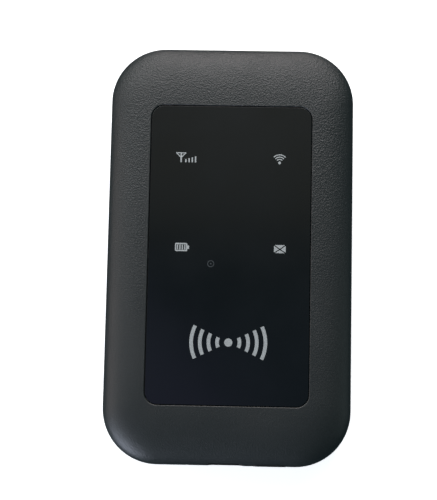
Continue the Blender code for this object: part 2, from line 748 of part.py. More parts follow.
def build_back_cover():
    sections = []
    for inset, rise in reversed(edge_curve(BACK_EDGE_WIDTH, EDGE_TOP, 2, BACK_EDGE_STEPS)):
        sections.append((body_outline(inset), EDGE_TOP - rise))
    sections.append((body_outline(0), COVER_TOP))
    cover = add_piece("back_cover", "textured_plastic", sections, smooth=True)

    cavity = [
        (body_outline(RIM_WALL), COVER_TOP + 1),
        (body_outline(RIM_WALL), REBATE_BOTTOM),
        (body_outline(COVER_WALL), REBATE_BOTTOM),
    ]
    for inset, rise in edge_curve(BACK_EDGE_WIDTH, EDGE_TOP - COVER_FLOOR, 2, 3):
        cavity.append((body_outline(COVER_WALL + inset), EDGE_TOP - rise))
    cut(cover, "cavity", cavity)
    for side in (-1, 1):
        for place in SIDE_TAB_PLACES:
            tab = level(tab_outline(HALF_WIDTH, side), place - TAB_WIDTH / 2, place + TAB_WIDTH / 2)
            join(cover, f"side_tab_{side}_{place}", tab, "Y")
        for place in END_TAB_PLACES:
            tab = level(tab_outline(HALF_LENGTH, side), place - TAB_WIDTH / 2, place + TAB_WIDTH / 2)
            join(cover, f"end_tab_{side}_{place}", tab, "X")
    notch = rectangle(NAIL_NOTCH_WIDTH, 2 * NAIL_NOTCH_DEPTH, (0, HALF_LENGTH))
    cut(cover, "nail_notch", level(notch, COVER_TOP - NAIL_NOTCH_HEIGHT, COVER_TOP + 1))


def build_rear_housing():
    outline = body_outline(HOUSING_WALL + SEAM)
    housing = add_piece("rear_housing", "black_plastic", level(outline, PLATE_BOTTOM, PLATE_TOP))
    bay_length = BAY_HIGH_Y - BAY_LOW_Y
    wall_low = BATTERY_BOTTOM
    outer = rectangle(2 * BAY_HALF_WIDTH, bay_length, (0, BATTERY_Y))
    join(housing, "bay_block", level(outer, wall_low, PLATE_BOTTOM + PLATE_THICKNESS / 2))
    inner = rectangle(2 * (BAY_HALF_WIDTH - BAY_WALL), bay_length - 2 * BAY_WALL, (0, BATTERY_Y))
    cut(housing, "bay", level(inner, wall_low - 1, PLATE_BOTTOM))

    for number, place in enumerate(boss_places(), 1):
        seat = level(circle(SEAT_RADIUS, place), PLATE_BOTTOM - SEAT_DEPTH, PLATE_TOP - PLATE_THICKNESS / 2)
        join(housing, f"seat_{number}", seat)
    for number, place in enumerate(boss_places(), 1):
        head = level(circle(SCREW_HEAD_RADIUS + SEAM, place), screw_seat() - 3, screw_seat())
        cut(housing, f"head_hole_{number}", head)
        shank = level(circle(SCREW_SHANK_RADIUS + SEAM, place, 12), screw_seat() - 1, PLATE_TOP + 1)
        cut(housing, f"shank_hole_{number}", shank)
    for number, place in enumerate(post_places(), 1):
        post = level(circle(POST_RADIUS, place, 12), PLATE_TOP - PLATE_THICKNESS / 2, BOARD_BOTTOM - SEAM)
        join(housing, f"post_{number}", post)

    low, high = PLATE_BOTTOM - 1, PLATE_TOP + 1
    notch_depth = HOUSING_WALL + SEAM + TAB_THICKNESS + SEAM
    notch_width = TAB_WIDTH + 2 * SEAM
    for side in (-1, 1):
        for place in SIDE_TAB_PLACES:
            notch = rectangle(2 * notch_depth, notch_width, (side * HALF_WIDTH, place))
            cut(housing, f"side_notch_{side}_{place}", level(notch, low, high))
        for place in END_TAB_PLACES:
            notch = rectangle(notch_width, 2 * notch_depth, (place, side * HALF_LENGTH))
            cut(housing, f"end_notch_{side}_{place}", level(notch, low, high))

    sockets = (
        ("sim", -SOCKET_X, SIM_WIDTH, SIM_LENGTH),
        ("memory", SOCKET_X, MEMORY_WIDTH, MEMORY_LENGTH),
    )
    for name, x, width, length in sockets:
        window_length = length + CARD_SLIDE + 2 * SEAM
        centre = (x, SOCKET_LOW_Y - SEAM + window_length / 2)
        cut(housing, f"{name}_window", level(rectangle(width + 2 * SEAM, window_length, centre), low, high))
    block_front = contact_block_front()
    slot_high = BATTERY_LOW_Y
    slot_low = block_front - CONTACT_BLOCK_DEPTH - SEAM
    slot = rectangle(CONTACT_BLOCK_WIDTH + 2 * SEAM, slot_high - slot_low, (0, (slot_low + slot_high) / 2))
    cut(housing, "contact_slot", level(slot, wall_low - 1, high))
    grip = rectangle(FINGER_NOTCH_WIDTH, 4 * BAY_WALL, (0, BAY_HIGH_Y))
    cut(housing, "finger_notch", level(grip, wall_low - 1, BATTERY_MID_Z))


def contact_block_front():
    """The face of the contact block that looks at the battery's end."""
    return BATTERY_LOW_Y - SEAM - CONTACT_REACH


def contact_places():
    middle = (CONTACT_COUNT - 1) / 2
    return [(index - middle) * CONTACT_PITCH for index in range(CONTACT_COUNT)]


def build_battery_contacts():
    front = contact_block_front()
    back = front - CONTACT_BLOCK_DEPTH
    high = BOARD_BOTTOM - SOLDER_GAP
    low = BATTERY_MID_Z - TERMINAL_HEIGHT / 6 - SEAM - CONTACT_BLOCK_SIDE
    centre = (0, (front + back) / 2)
    shape = level(rectangle(CONTACT_BLOCK_WIDTH, CONTACT_BLOCK_DEPTH, centre), low, high)
    block = add_piece("battery_contact_block", "black_plastic", shape, origin=(*centre, high))
    slot_depth = CONTACT_BLOCK_DEPTH - CONTACT_BLOCK_SIDE
    slot_top = high - CONTACT_BLOCK_SIDE
    slot_bottom = low + CONTACT_BLOCK_SIDE
    for number, x in enumerate(contact_places(), 1):
        slot = rectangle(CONTACT_WIDTH + 2 * SLIDING_FIT, 2 * slot_depth, (x, front))
        cut(block, f"slot_{number}", level(slot, slot_bottom, slot_top))
        top = slot_top - SEAM
        bottom = slot_bottom + SEAM
        deep = front - slot_depth + SEAM
        tip = front + CONTACT_REACH - CONTACT_SHEET / 2
        path = [
            (front - SEAM, top),
            (deep, top),
            (deep, bottom),
            (front, bottom),
            (tip, BATTERY_MID_Z - TERMINAL_HEIGHT / 6),
            (tip, BATTERY_MID_Z + TERMINAL_HEIGHT / 6),
            (front - SEAM, BATTERY_MID_Z + TERMINAL_HEIGHT / 2),
        ]
        strip = level(band(path, CONTACT_SHEET), x - CONTACT_WIDTH / 2, x + CONTACT_WIDTH / 2)
        add_piece(f"battery_contact_{number}", "gold_contact", strip, "X", (x, front, BATTERY_MID_Z))


def build_battery():
    origin = (0, BATTERY_Y, BATTERY_MID_Z)
    battery = add_empty("battery", origin)
    outline = rounded_rectangle(BATTERY_WIDTH, BATTERY_LENGTH, BATTERY_CORNER, (0, BATTERY_Y), steps=3)
    narrow = rounded_rectangle(
        BATTERY_WIDTH - 2 * BATTERY_EDGE,
        BATTERY_LENGTH - 2 * BATTERY_EDGE,
        BATTERY_CORNER - BATTERY_EDGE,
        (0, BATTERY_Y),
        steps=3,
    )
    sections = [
        (narrow, BATTERY_BOTTOM),
        (outline, BATTERY_BOTTOM + BATTERY_EDGE),
        (outline, BATTERY_TOP - BATTERY_EDGE),
        (narrow, BATTERY_TOP),
    ]
    pack = add_piece("battery_pack", "battery_wrap", sections, origin=origin, parent=battery)
    pocket_width = CONTACT_PITCH * (CONTACT_COUNT - 1) + TERMINAL_WIDTH + 2 * SEAM
    pocket = rectangle(pocket_width, TERMINAL_HEIGHT + 2 * SEAM, (0, BATTERY_MID_Z))
    cut(pack, "pocket", level(pocket, BATTERY_LOW_Y - 1, BATTERY_LOW_Y + TERMINAL_POCKET), "Y")
    terminal_back = BATTERY_LOW_Y + TERMINAL_POCKET - SOLDER_GAP
    for number, x in enumerate(contact_places(), 1):
        face = rectangle(TERMINAL_WIDTH, TERMINAL_HEIGHT, (x, BATTERY_MID_Z))
        plate = level(face, terminal_back - TERMINAL_THICKNESS, terminal_back)
        place = (x, terminal_back, BATTERY_MID_Z)
        add_piece(f"battery_terminal_{number}", "gold_contact", plate, "Y", place, battery)
    width = BATTERY_WIDTH - 2 * LABEL_MARGIN
    length = BATTERY_LENGTH - 2 * LABEL_MARGIN
    high = BATTERY_BOTTOM - LABEL_GAP
    sheet = level(rectangle(width, length, (0, BATTERY_Y)), high - LABEL_THICKNESS, high)
    add_piece("battery_label", "white_label", sheet, origin=(0, BATTERY_Y, high), parent=battery)


def build_rating_label():
    low_y = SOCKET_LOW_Y + max(SIM_LENGTH, MEMORY_LENGTH) + CARD_SLIDE + LABEL_MARGIN
    high_y = BAY_HIGH_Y - BAY_WALL - LABEL_MARGIN
    centre = (0, (low_y + high_y) / 2)
    width = BATTERY_WIDTH - 2 * LABEL_MARGIN
    high = PLATE_BOTTOM - LABEL_GAP
    sheet = level(rectangle(width, high_y - low_y, centre), high - LABEL_THICKNESS, high)
    add_piece("rating_label", "white_label", sheet, origin=(*centre, high))


def screw_seat():
    """The step inside the rear housing that the heads of the housing screws press on."""
    return PLATE_BOTTOM + PLATE_THICKNESS / 4


def add_screw(name, place, seat, tip):
    """A pan-head screw, head down, with a cross recess."""
    head_top = seat - SLIDING_FIT
    head_bottom = head_top - SCREW_HEAD_HEIGHT
    head = circle(SCREW_HEAD_RADIUS, place, 14)
    sections = [
        (circle(SCREW_HEAD_RADIUS * 0.8, place, 14), head_bottom),
        (head, head_bottom + SCREW_HEAD_HEIGHT * 0.4),
        (head, head_top),
        (circle(SCREW_SHANK_RADIUS, place, 14), head_top),
        (circle(SCREW_SHANK_RADIUS, place, 14), tip - SCREW_SHANK_RADIUS / 2),
        (circle(SCREW_SHANK_RADIUS / 2, place, 14), tip),
    ]
    screw = add_piece(name, "screw_steel", sections, origin=(*place, seat), smooth=True)
    arm = SCREW_HEAD_RADIUS * 1.1
    cross = ((arm, SCREW_SLOT), (SCREW_SLOT, arm))
    for number, (width, length) in enumerate(cross, 1):
        slot = level(rectangle(width, length, place), head_bottom - 1, head_bottom + SCREW_RECESS)
        cut(screw, f"recess_{number}", slot)


def build_screws():
    for number, place in enumerate(boss_places(), 1):
        add_screw(f"housing_screw_{number}", place, screw_seat(), PLATE_TOP + SEAM + SCREW_BITE)
    for number, place in enumerate(board_screw_places(), 1):
        add_screw(f"board_screw_{number}", place, BOARD_BOTTOM - SLIDING_FIT, CAVITY_TOP - 2 * SEAM)


def add_antenna(name, width, length, centre, slot_side, clip_place):
    """A flexible antenna on its carrier above the board, and the spring clip that feeds it."""
    low = BOARD_TOP + ANTENNA_LIFT
    origin = (*centre, low)
    sheet = level(rectangle(width, length, centre), low, low + ANTENNA_THICKNESS)
    antenna = add_piece(name, "flex_circuit", sheet, origin=origin)
    open_end = slot_side * (1 - ANTENNA_SLOT_SHARE)
    if width > length:
        slot_centre = (centre[0] + open_end * width, centre[1])
        slot = rectangle(width * ANTENNA_SLOT_SHARE, ANTENNA_SLOT, slot_centre)
    else:
        slot_centre = (centre[0], centre[1] + open_end * length)
        slot = rectangle(ANTENNA_SLOT, length * ANTENNA_SLOT_SHARE, slot_centre)
    cut(antenna, "slot", level(slot, low - 1, low + ANTENNA_THICKNESS + 1))
    x, y = clip_place
    bottom = BOARD_TOP + SOLDER_GAP + CLIP_SHEET / 2
    top = low - SOLDER_GAP - CLIP_SHEET / 2
    path = [(y + CLIP_LENGTH, bottom), (y, bottom), (y, top), (y + CLIP_LENGTH * 0.7, top)]
    clip = level(band(path, CLIP_SHEET), x - CLIP_WIDTH / 2, x + CLIP_WIDTH / 2)
    add_piece(f"{name}_clip", "gold_contact", clip, "X", (x, y, bottom))


def build_antennas():
    boss_x = max(x for x, _ in boss_places())
    main_length = 2 * (boss_x - BOSS_RADIUS - MAIN_ANTENNA_BOSS_GAP)
    top_y = BOARD_HALF_LENGTH - MAIN_ANTENNA_DEPTH / 2
    clip = (-main_length / 3, top_y - CLIP_LENGTH)
    add_antenna("main_antenna", main_length, MAIN_ANTENNA_DEPTH, (0, top_y), 1, clip)
    side_x = BOARD_HALF_WIDTH - SIDE_ANTENNA_WIDTH / 2
    side_y = SYMBOL_ROW - SYMBOL_ROW_STEP - SIDE_ANTENNA_LENGTH / 2 - 4
    for name, x in (("diversity_antenna", side_x), ("wireless_antenna", -side_x)):
        clip = (x, side_y + SIDE_ANTENNA_LENGTH / 2 - CLIP_LENGTH - 1)
        add_antenna(name, SIDE_ANTENNA_WIDTH, SIDE_ANTENNA_LENGTH, (x, side_y), -1, clip)


clear_scene()
build_front_housing()
build_window()
build_lights()
build_board()
build_chips()
build_usb_inlet()
build_keys()
build_card_sockets()
build_battery_contacts()
build_rear_housing()
build_screws()
build_antennas()
build_rating_label()
build_battery()
build_back_cover()
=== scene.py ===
"""A pocket mobile hotspot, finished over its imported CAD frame.

Lengths are in metres. +X runs across the hotspot, +Y away from the inlet and +Z out of the window.
"""

import math

import bpy
from mathutils import Matrix, Vector


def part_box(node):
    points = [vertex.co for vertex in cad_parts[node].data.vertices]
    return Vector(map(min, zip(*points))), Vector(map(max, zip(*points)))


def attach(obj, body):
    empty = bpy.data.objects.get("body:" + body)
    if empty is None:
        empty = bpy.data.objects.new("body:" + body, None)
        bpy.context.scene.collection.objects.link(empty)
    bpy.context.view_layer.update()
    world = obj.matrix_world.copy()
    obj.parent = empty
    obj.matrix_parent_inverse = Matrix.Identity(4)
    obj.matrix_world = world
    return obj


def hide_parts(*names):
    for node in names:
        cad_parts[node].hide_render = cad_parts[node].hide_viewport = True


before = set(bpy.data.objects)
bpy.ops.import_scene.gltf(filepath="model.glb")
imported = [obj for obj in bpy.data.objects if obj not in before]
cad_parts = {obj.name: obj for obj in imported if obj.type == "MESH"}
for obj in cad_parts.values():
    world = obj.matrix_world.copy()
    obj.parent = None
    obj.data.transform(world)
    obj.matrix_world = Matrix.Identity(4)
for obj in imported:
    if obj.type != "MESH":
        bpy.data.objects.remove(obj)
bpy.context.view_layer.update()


# ---------------------------------------------------------------- Studio
# A long lens held almost straight above the hotspot, which lies on a pale sheet. Four soft lights
# stand beyond its top end and two weaker ones on the left, and one on the right is so faint that
# the right-hand side stays dark. Two faint cards hang overhead, where the gloss window mirrors them.

MM = 0.001


def linear(code, alpha=1.0):
    """The linear colour of an sRGB hex code."""
    channels = [int(code[start:start + 2], 16) / 255 for start in (0, 2, 4)]
    curve = [c / 12.92 if c <= 0.04045 else ((c + 0.055) / 1.055) ** 2.4 for c in channels]
    return (*curve, alpha)


def start_material(name):
    """An empty material and its shader, joined to the output."""
    material = bpy.data.materials.new(name)
    material.use_nodes = True
    shader = material.node_tree.nodes["Principled BSDF"]
    return material, shader


def add_node(material, kind, settings=(), values=(), links=(), stops=()):
    """Adds a node: settings are its options, values its constants, links (socket, node, output)
    and stops a colour ramp's (position, sRGB hex)."""
    node = material.node_tree.nodes.new(kind)
    for option, value in settings:
        setattr(node, option, value)
    for socket, value in values:
        node.inputs[socket].default_value = value
    for socket, source, output in links:
        material.node_tree.links.new(source.outputs[output], node.inputs[socket])
    for extra in stops[2:]:
        node.color_ramp.elements.new(0.5)
    for number, (position, code) in enumerate(stops):
        element = node.color_ramp.elements[number]
        element.position = position
        element.color = linear(code)
    return node


def feed(material, shader, *links):
    """Joins (node, output) to the shader's sockets: each link is (socket, node, output)."""
    for socket, source, output in links:
        material.node_tree.links.new(source.outputs[output], shader.inputs[socket])


def add_light(name, place, size, power, colour):
    """A square area light that looks at the hotspot."""
    lamp = bpy.data.lights.new(name, "AREA")
    lamp.size = size
    lamp.energy = power
    lamp.color = linear(colour)[:3]
    holder = bpy.data.objects.new(name, lamp)
    holder.location = place
    holder.rotation_euler = (-Vector(place)).to_track_quat("-Z", "Y").to_euler()
    bpy.context.scene.collection.objects.link(holder)


case_low, case_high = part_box("front_housing")
camera_distance = 262 * MM
lens_target = Vector((0, 0, case_high.z / 2 + 0.5 * MM))
roll, pitch, yaw = (math.radians(angle) for angle in (-1.13, -5.95, -1.03))
turn = Matrix.Rotation(roll, 4, "Z") @ Matrix.Rotation(pitch, 4, "X") @ Matrix.Rotation(yaw, 4, "Y")
lens = bpy.data.cameras.new("camera")
lens.lens = 78.9
lens.sensor_width = 36
lens.shift_x = -0.0222
lens.shift_y = 0.0102
lens.clip_start = 0.01
camera = bpy.data.objects.new("camera", lens)
camera.matrix_world = (
    Matrix.Translation(lens_target) @ turn.inverted() @ Matrix.Translation((0, 0, camera_distance))
)
bpy.context.scene.collection.objects.link(camera)
bpy.context.scene.camera = camera
bpy.context.scene.view_settings.view_transform = "Standard"

add_light("top_light", (0, 0.56, 0.44), 0.5, 2.75, "fff4f6")
add_light("low_top_light", (0.05, 0.72, 0.2), 0.4, 2.1, "fff4f2")
add_light("top_right_light", (0.28, 0.5, 0.42), 0.4, 0.8, "eeffff")
add_light("top_left_light", (-0.3, 0.42, 0.42), 0.4, 1.85, "f8ffff")
add_light("left_light", (-0.5, 0.02, 0.22), 0.36, 0.75, "ffeee8")
add_light("low_left_light", (-0.35, -0.4, 0.16), 0.3, 2.4, "e4ecff")
add_light("right_light", (0.5, -0.1, 0.15), 0.3, 0.16, "e8ffff")
add_light("high_card", (0, 0.25, 0.75), 0.3, 0.08, "fff0d0")
add_light("high_left_card", (-0.12, -0.12, 0.75), 0.25, 0.06, "c8b8ff")

world = bpy.data.worlds.new("studio")
world.use_nodes = True
world.node_tree.nodes["Background"].inputs["Color"].default_value = linear("bcf0ff")
world.node_tree.nodes["Background"].inputs["Strength"].default_value = 0.1
bpy.context.scene.world = world

bpy.ops.object.select_all(action="DESELECT")
bpy.ops.mesh.primitive_plane_add(size=3, location=(0, 0, -0.02 * MM))
floor = bpy.context.object
floor.name = "floor"
paper, shader = start_material("white_paper_sheet")
shader.inputs["Base Color"].default_value = linear("f6f6f5")
shader.inputs["Roughness"].default_value = 0.9
shader.inputs["Emission Color"].default_value = linear("ffffff")
shader.inputs["Emission Strength"].default_value = 0.7
floor.data.materials.append(paper)
floor.visible_diffuse = False
floor.visible_glossy = False


# ---------------------------------------------------------------- Circuit board and its chips
# A four-layer glass-fibre board under green solder mask, soldered by machine. The pressed covers
# over the two groups of chips are tinned steel, and the chips are moulded in black epoxy.


def paint(material, *nodes):
    """Gives CAD nodes whose shapes are already right a better finish."""
    for name in nodes:
        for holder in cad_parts[name].material_slots:
            holder.material = material


# Solder mask: glossy green over copper, which shows as lighter tracks 0.25 mm wide on a 0.9 mm
# pitch, with tinned vias and the yellowish weave of the glass cloth under it.
solder_mask, shader = start_material("green_solder_mask_board")
place = add_node(solder_mask, "ShaderNodeTexCoord")
tracks = add_node(solder_mask, "ShaderNodeTexBrick", [("offset", 0.37), ("squash", 1.0)],
                  [("Scale", 1.0), ("Mortar Size", 0.00012), ("Mortar Smooth", 0.1),
                   ("Brick Width", 0.0047), ("Row Height", 0.0009),
                   ("Color1", linear("0d4a2a")), ("Color2", linear("105632")), ("Mortar", linear("2c7d4e"))],
                  [("Vector", place, "Object")])
vias = add_node(solder_mask, "ShaderNodeTexVoronoi", [("feature", "F1")], [("Scale", 420.0)],
                [("Vector", place, "Object")])
via_spot = add_node(solder_mask, "ShaderNodeValToRGB", [], [], [("Fac", vias, "Distance")],
                    [(0.0, "ffffff"), (0.12, "ffffff"), (0.16, "000000")])
board_colour = add_node(solder_mask, "ShaderNodeMix", [("data_type", "RGBA")], [("B", linear("b7b2a0"))],
                        [("Factor", via_spot, "Color"), ("A", tracks, "Color")])
weave = add_node(solder_mask, "ShaderNodeTexNoise", [], [("Scale", 1800.0), ("Detail", 2.0)],
                 [("Vector", place, "Object")])
board_bump = add_node(solder_mask, "ShaderNodeBump", [], [("Strength", 0.4), ("Distance", 0.00003)],
                      [("Height", weave, "Fac")])
board_gloss = add_node(solder_mask, "ShaderNodeMapRange", [], [("To Min", 0.28), ("To Max", 0.42)],
                       [("Value", weave, "Fac")])
feed(solder_mask, shader, ("Base Color", board_colour, "Result"), ("Normal", board_bump, "Normal"),
     ("Roughness", board_gloss, "Result"))
paint(solder_mask, "main_board")

# Tinned steel: rolled sheet, so its streaks run one way, 0.1 mm apart and drawn at 0.2 mm so that
# they show; the bright skin is duller where it was handled.
tinned_steel, shader = start_material("rolled_tinned_steel")
place = add_node(tinned_steel, "ShaderNodeTexCoord")
along = add_node(tinned_steel, "ShaderNodeMapping", [], [("Scale", (5000.0, 260.0, 5000.0))],
                 [("Vector", place, "Object")])
streaks = add_node(tinned_steel, "ShaderNodeTexNoise", [], [("Scale", 1.0), ("Detail", 3.0)],
                   [("Vector", along, "Vector")])
blotches = add_node(tinned_steel, "ShaderNodeTexNoise", [], [("Scale", 320.0), ("Detail", 4.0)],
                    [("Vector", place, "Object")])
steel_colour = add_node(tinned_steel, "ShaderNodeValToRGB", [], [], [("Fac", blotches, "Fac")],
                        [(0.3, "a9acaf"), (0.7, "c9ccce")])
steel_gloss = add_node(tinned_steel, "ShaderNodeMapRange", [], [("To Min", 0.2), ("To Max", 0.46)],
                       [("Value", streaks, "Fac")])
steel_bump = add_node(tinned_steel, "ShaderNodeBump", [], [("Strength", 0.25), ("Distance", 0.00001)],
                      [("Height", streaks, "Fac")])
shader.inputs["Metallic"].default_value = 1.0
feed(tinned_steel, shader, ("Base Color", steel_colour, "Color"), ("Roughness", steel_gloss, "Result"),
     ("Normal", steel_bump, "Normal"))
paint(tinned_steel, "baseband_shield", "radio_shield", "crystal")

# Moulded epoxy: a matt charcoal with a grain of about 0.05 mm, drawn at 0.12 mm so that it shows.
chip_epoxy, shader = start_material("moulded_chip_epoxy")
place = add_node(chip_epoxy, "ShaderNodeTexCoord")
grit = add_node(chip_epoxy, "ShaderNodeTexNoise", [], [("Scale", 8000.0), ("Detail", 2.0)],
                [("Vector", place, "Object")])
chip_colour = add_node(chip_epoxy, "ShaderNodeValToRGB", [], [], [("Fac", grit, "Fac")],
                       [(0.3, "1a1c1e"), (0.75, "2d2f32")])
chip_bump = add_node(chip_epoxy, "ShaderNodeBump", [], [("Strength", 0.4), ("Distance", 0.00002)],
                     [("Height", grit, "Fac")])
shader.inputs["Roughness"].default_value = 0.6
feed(chip_epoxy, shader, ("Base Color", chip_colour, "Color"), ("Normal", chip_bump, "Normal"))
paint(chip_epoxy, "baseband_chip", "memory_chip", "radio_chip", "power_amplifier", "wireless_chip",
      "power_chip", "inductor")


# ---------------------------------------------------------------- Lamps and light pipes
# White light-emitting diodes under yellow phosphor, and the moulded clear polycarbonate blocks
# that carry their light up to the window.

led_phosphor, shader = start_material("led_phosphor_resin")
place = add_node(led_phosphor, "ShaderNodeTexCoord")
specks = add_node(led_phosphor, "ShaderNodeTexNoise", [], [("Scale", 9000.0), ("Detail", 2.0)],
                  [("Vector", place, "Object")])
led_colour = add_node(led_phosphor, "ShaderNodeValToRGB", [], [], [("Fac", specks, "Fac")],
                      [(0.3, "e3d37a"), (0.7, "f6eeb4")])
shader.inputs["Roughness"].default_value = 0.28
feed(led_phosphor, shader, ("Base Color", led_colour, "Color"))
symbols = ("signal", "wireless", "battery", "message")
paint(led_phosphor, *(f"led_{symbol}" for symbol in symbols))

clear_block, shader = start_material("frosted_polycarbonate")
place = add_node(clear_block, "ShaderNodeTexCoord")
frost = add_node(clear_block, "ShaderNodeTexNoise", [], [("Scale", 4000.0), ("Detail", 3.0)],
                 [("Vector", place, "Object")])
frost_gloss = add_node(clear_block, "ShaderNodeMapRange", [], [("To Min", 0.18), ("To Max", 0.42)],
                       [("Value", frost, "Fac")])
frost_colour = add_node(clear_block, "ShaderNodeValToRGB", [], [], [("Fac", frost, "Fac")],
                        [(0.2, "dfe5e8"), (0.8, "f4f7f8")])
shader.inputs["Transmission Weight"].default_value = 0.75
shader.inputs["IOR"].default_value = 1.585
feed(clear_block, shader, ("Base Color", frost_colour, "Color"), ("Roughness", frost_gloss, "Result"))
paint(clear_block, *(f"light_pipe_{symbol}" for symbol in symbols))


# ---------------------------------------------------------------- Front housing
# The upper half of the case: one injection moulding in dark grey ABS, spark eroded to a fine
# matt grain. Its border swells over the edge, and the window lies in a shallow pan inside it.

case_centre = (case_low + case_high) / 2
case_width = case_high.x - case_low.x
case_length = case_high.y - case_low.y
corner_radius = 13 * MM
seam_height = case_low.z + 1.1 * MM
lip_inset = 0.75 * MM
window_low, window_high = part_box("display_window")
window_centre = (window_low + window_high) / 2
window_width = window_high.x - window_low.x
window_length = window_high.y - window_low.y
window_corner = 2.9 * MM
window_fit = 0.15 * MM
window_land = 0.45 * MM
crown_width = (case_width - window_width) / 2 - window_land
crown_end = (case_length - window_length) / 2 - window_land
crown_shift = window_centre.y - case_centre.y
crown_height = 4.7 * MM
crown_exponent = 2.25
crown_steps = 18
wall = 1.6 * MM


def activate(piece):
    """Selects the piece alone."""
    bpy.ops.object.select_all(action="DESELECT")
    piece.select_set(True)
    bpy.context.view_layer.objects.active = piece


def slab(name, width, length, radius, centre, bottom, height, segments=22):
    """A plate with rounded corners: a plane whose corners are bevelled, then pulled up."""
    bpy.ops.object.select_all(action="DESELECT")
    bpy.ops.mesh.primitive_plane_add(size=1, location=(centre[0], centre[1], bottom))
    piece = bpy.context.object
    piece.name = name
    piece.scale = (width, length, 1)
    bpy.ops.object.transform_apply()
    bpy.ops.object.mode_set(mode="EDIT")
    bpy.ops.mesh.select_all(action="SELECT")
    bpy.ops.mesh.bevel(offset=radius, offset_type="OFFSET", segments=segments, affect="VERTICES")
    bpy.ops.mesh.select_all(action="SELECT")
    bpy.ops.mesh.extrude_region_move(TRANSFORM_OT_translate={"value": (0, 0, height)})
    bpy.ops.mesh.select_all(action="SELECT")
    bpy.ops.mesh.normals_make_consistent(inside=False)
    bpy.ops.object.mode_set(mode="OBJECT")
    return piece


def select_level(piece, height):
    """Goes into edit mode with the flat faces at the height selected."""
    activate(piece)
    bpy.ops.object.mode_set(mode="EDIT")
    bpy.ops.mesh.select_mode(type="FACE")
    bpy.ops.mesh.select_all(action="DESELECT")
    bpy.ops.object.mode_set(mode="OBJECT")
    for face in piece.data.polygons:
        face.select = abs(face.normal.z) > 0.99 and abs(face.center.z - height) < 0.02 * MM
    bpy.ops.object.mode_set(mode="EDIT")


def close_up(piece, angle=32):
    """Merges doubles, points the faces outward and shades the round stretches smooth."""
    activate(piece)
    bpy.ops.object.mode_set(mode="EDIT")
    bpy.ops.mesh.select_all(action="SELECT")
    bpy.ops.mesh.remove_doubles(threshold=0.0005 * MM)
    bpy.ops.mesh.normals_make_consistent(inside=False)
    bpy.ops.object.mode_set(mode="OBJECT")
    bpy.ops.object.shade_smooth_by_angle(angle=math.radians(angle))


def combine(piece, other, operation):
    """Cuts the other shape from the piece or joins it on, and removes the other shape."""
    activate(piece)
    modifier = piece.modifiers.new("combine", "BOOLEAN")
    modifier.operation = operation
    modifier.solver = "EXACT"
    modifier.object = other
    bpy.ops.object.modifier_apply(modifier=modifier.name)
    bpy.data.objects.remove(other, do_unlink=True)


def cut(piece, other):
    combine(piece, other, "DIFFERENCE")


def join(piece, other):
    combine(piece, other, "UNION")


def soften(piece, width, segments=2, angle=40):
    """Rounds every sharp edge of the piece a little, as a mould does."""
    activate(piece)
    modifier = piece.modifiers.new("soften", "BEVEL")
    modifier.width = width
    modifier.segments = segments
    modifier.limit_method = "ANGLE"
    modifier.angle_limit = math.radians(angle)
    modifier.use_clamp_overlap = True
    bpy.ops.object.modifier_apply(modifier=modifier.name)


def round_off(piece, width, segments=2):
    """Closes the piece up, softens its edges and shades it smooth."""
    close_up(piece)
    soften(piece, width, segments)
    close_up(piece, 40)


def swell(width, height, exponent, steps, length=0, end_width=0, shift=0):
    """Insets the selected face ring by ring, along a superellipse from upright to level.

    Given the face's length, the rings come in by end_width at its two ends, and drift by shift.
    """
    inset = rise = 0
    for step in range(1, steps + 1):
        angle = math.pi / 2 * step / steps
        last_inset, last_rise = inset, rise
        inset = width * (1 - max(math.cos(angle), 0) ** (2 / exponent))
        rise = height * math.sin(angle) ** (2 / exponent)
        bpy.ops.mesh.inset(thickness=inset - last_inset, depth=rise - last_rise)
        if length:
            share, last_share = inset / width, last_inset / width
            inset_length = length - 2 * end_width * last_share - 2 * (inset - last_inset)
            wanted_length = length - 2 * end_width * share
            bpy.ops.transform.resize(value=(1, wanted_length / inset_length, 1),
                                     center_override=(0, shift * last_share, 0))
            bpy.ops.transform.translate(value=(0, shift * (share - last_share), 0))
    bpy.ops.object.mode_set(mode="OBJECT")


def bar(name, low, high):
    """A block between two corners."""
    low, high = Vector(low), Vector(high)
    bpy.ops.object.select_all(action="DESELECT")
    bpy.ops.mesh.primitive_cube_add(size=1, location=(low + high) / 2)
    piece = bpy.context.object
    piece.name = name
    piece.scale = high - low
    bpy.ops.object.transform_apply()
    return piece


def rod(name, radius, start, end, vertices=32):
    """A round bar between two points."""
    start, end = Vector(start), Vector(end)
    along = end - start
    bpy.ops.object.select_all(action="DESELECT")
    bpy.ops.mesh.primitive_cylinder_add(
        radius=radius, depth=along.length, vertices=vertices, location=(start + end) / 2,
        rotation=along.to_track_quat("Z", "Y").to_euler())
    piece = bpy.context.object
    piece.name = name
    bpy.ops.object.transform_apply()
    return piece


def oval(name, width, height, place, start, end):
    """A bar with round ends, lying across, that runs along Y from start to end."""
    x, z = place
    piece = slab(name, width, height, height * 0.499, (0, 0), 0, end - start, segments=12)
    piece.location = (x, end, z)
    piece.rotation_euler.x = math.pi / 2
    bpy.ops.object.transform_apply()
    return piece


def inlet_block(name, low, high, chamfer, start, end):
    """A block along Y whose two lower long edges are cut off, in the shape of a micro USB plug."""
    piece = bar(name, (low[0], start, low[1]), (high[0], end, high[1]))
    middle = (low[1] + high[1]) / 2
    bpy.ops.object.mode_set(mode="EDIT")
    bpy.ops.mesh.select_mode(type="EDGE")
    bpy.ops.mesh.select_all(action="DESELECT")
    bpy.ops.object.mode_set(mode="OBJECT")
    for edge in piece.data.edges:
        ends = [piece.data.vertices[index].co for index in edge.vertices]
        edge.select = all(point.z < middle for point in ends) and abs(ends[0].y - ends[1].y) > chamfer
    bpy.ops.object.mode_set(mode="EDIT")
    bpy.ops.mesh.bevel(offset=chamfer, segments=1, affect="EDGES")
    bpy.ops.object.mode_set(mode="OBJECT")
    return piece


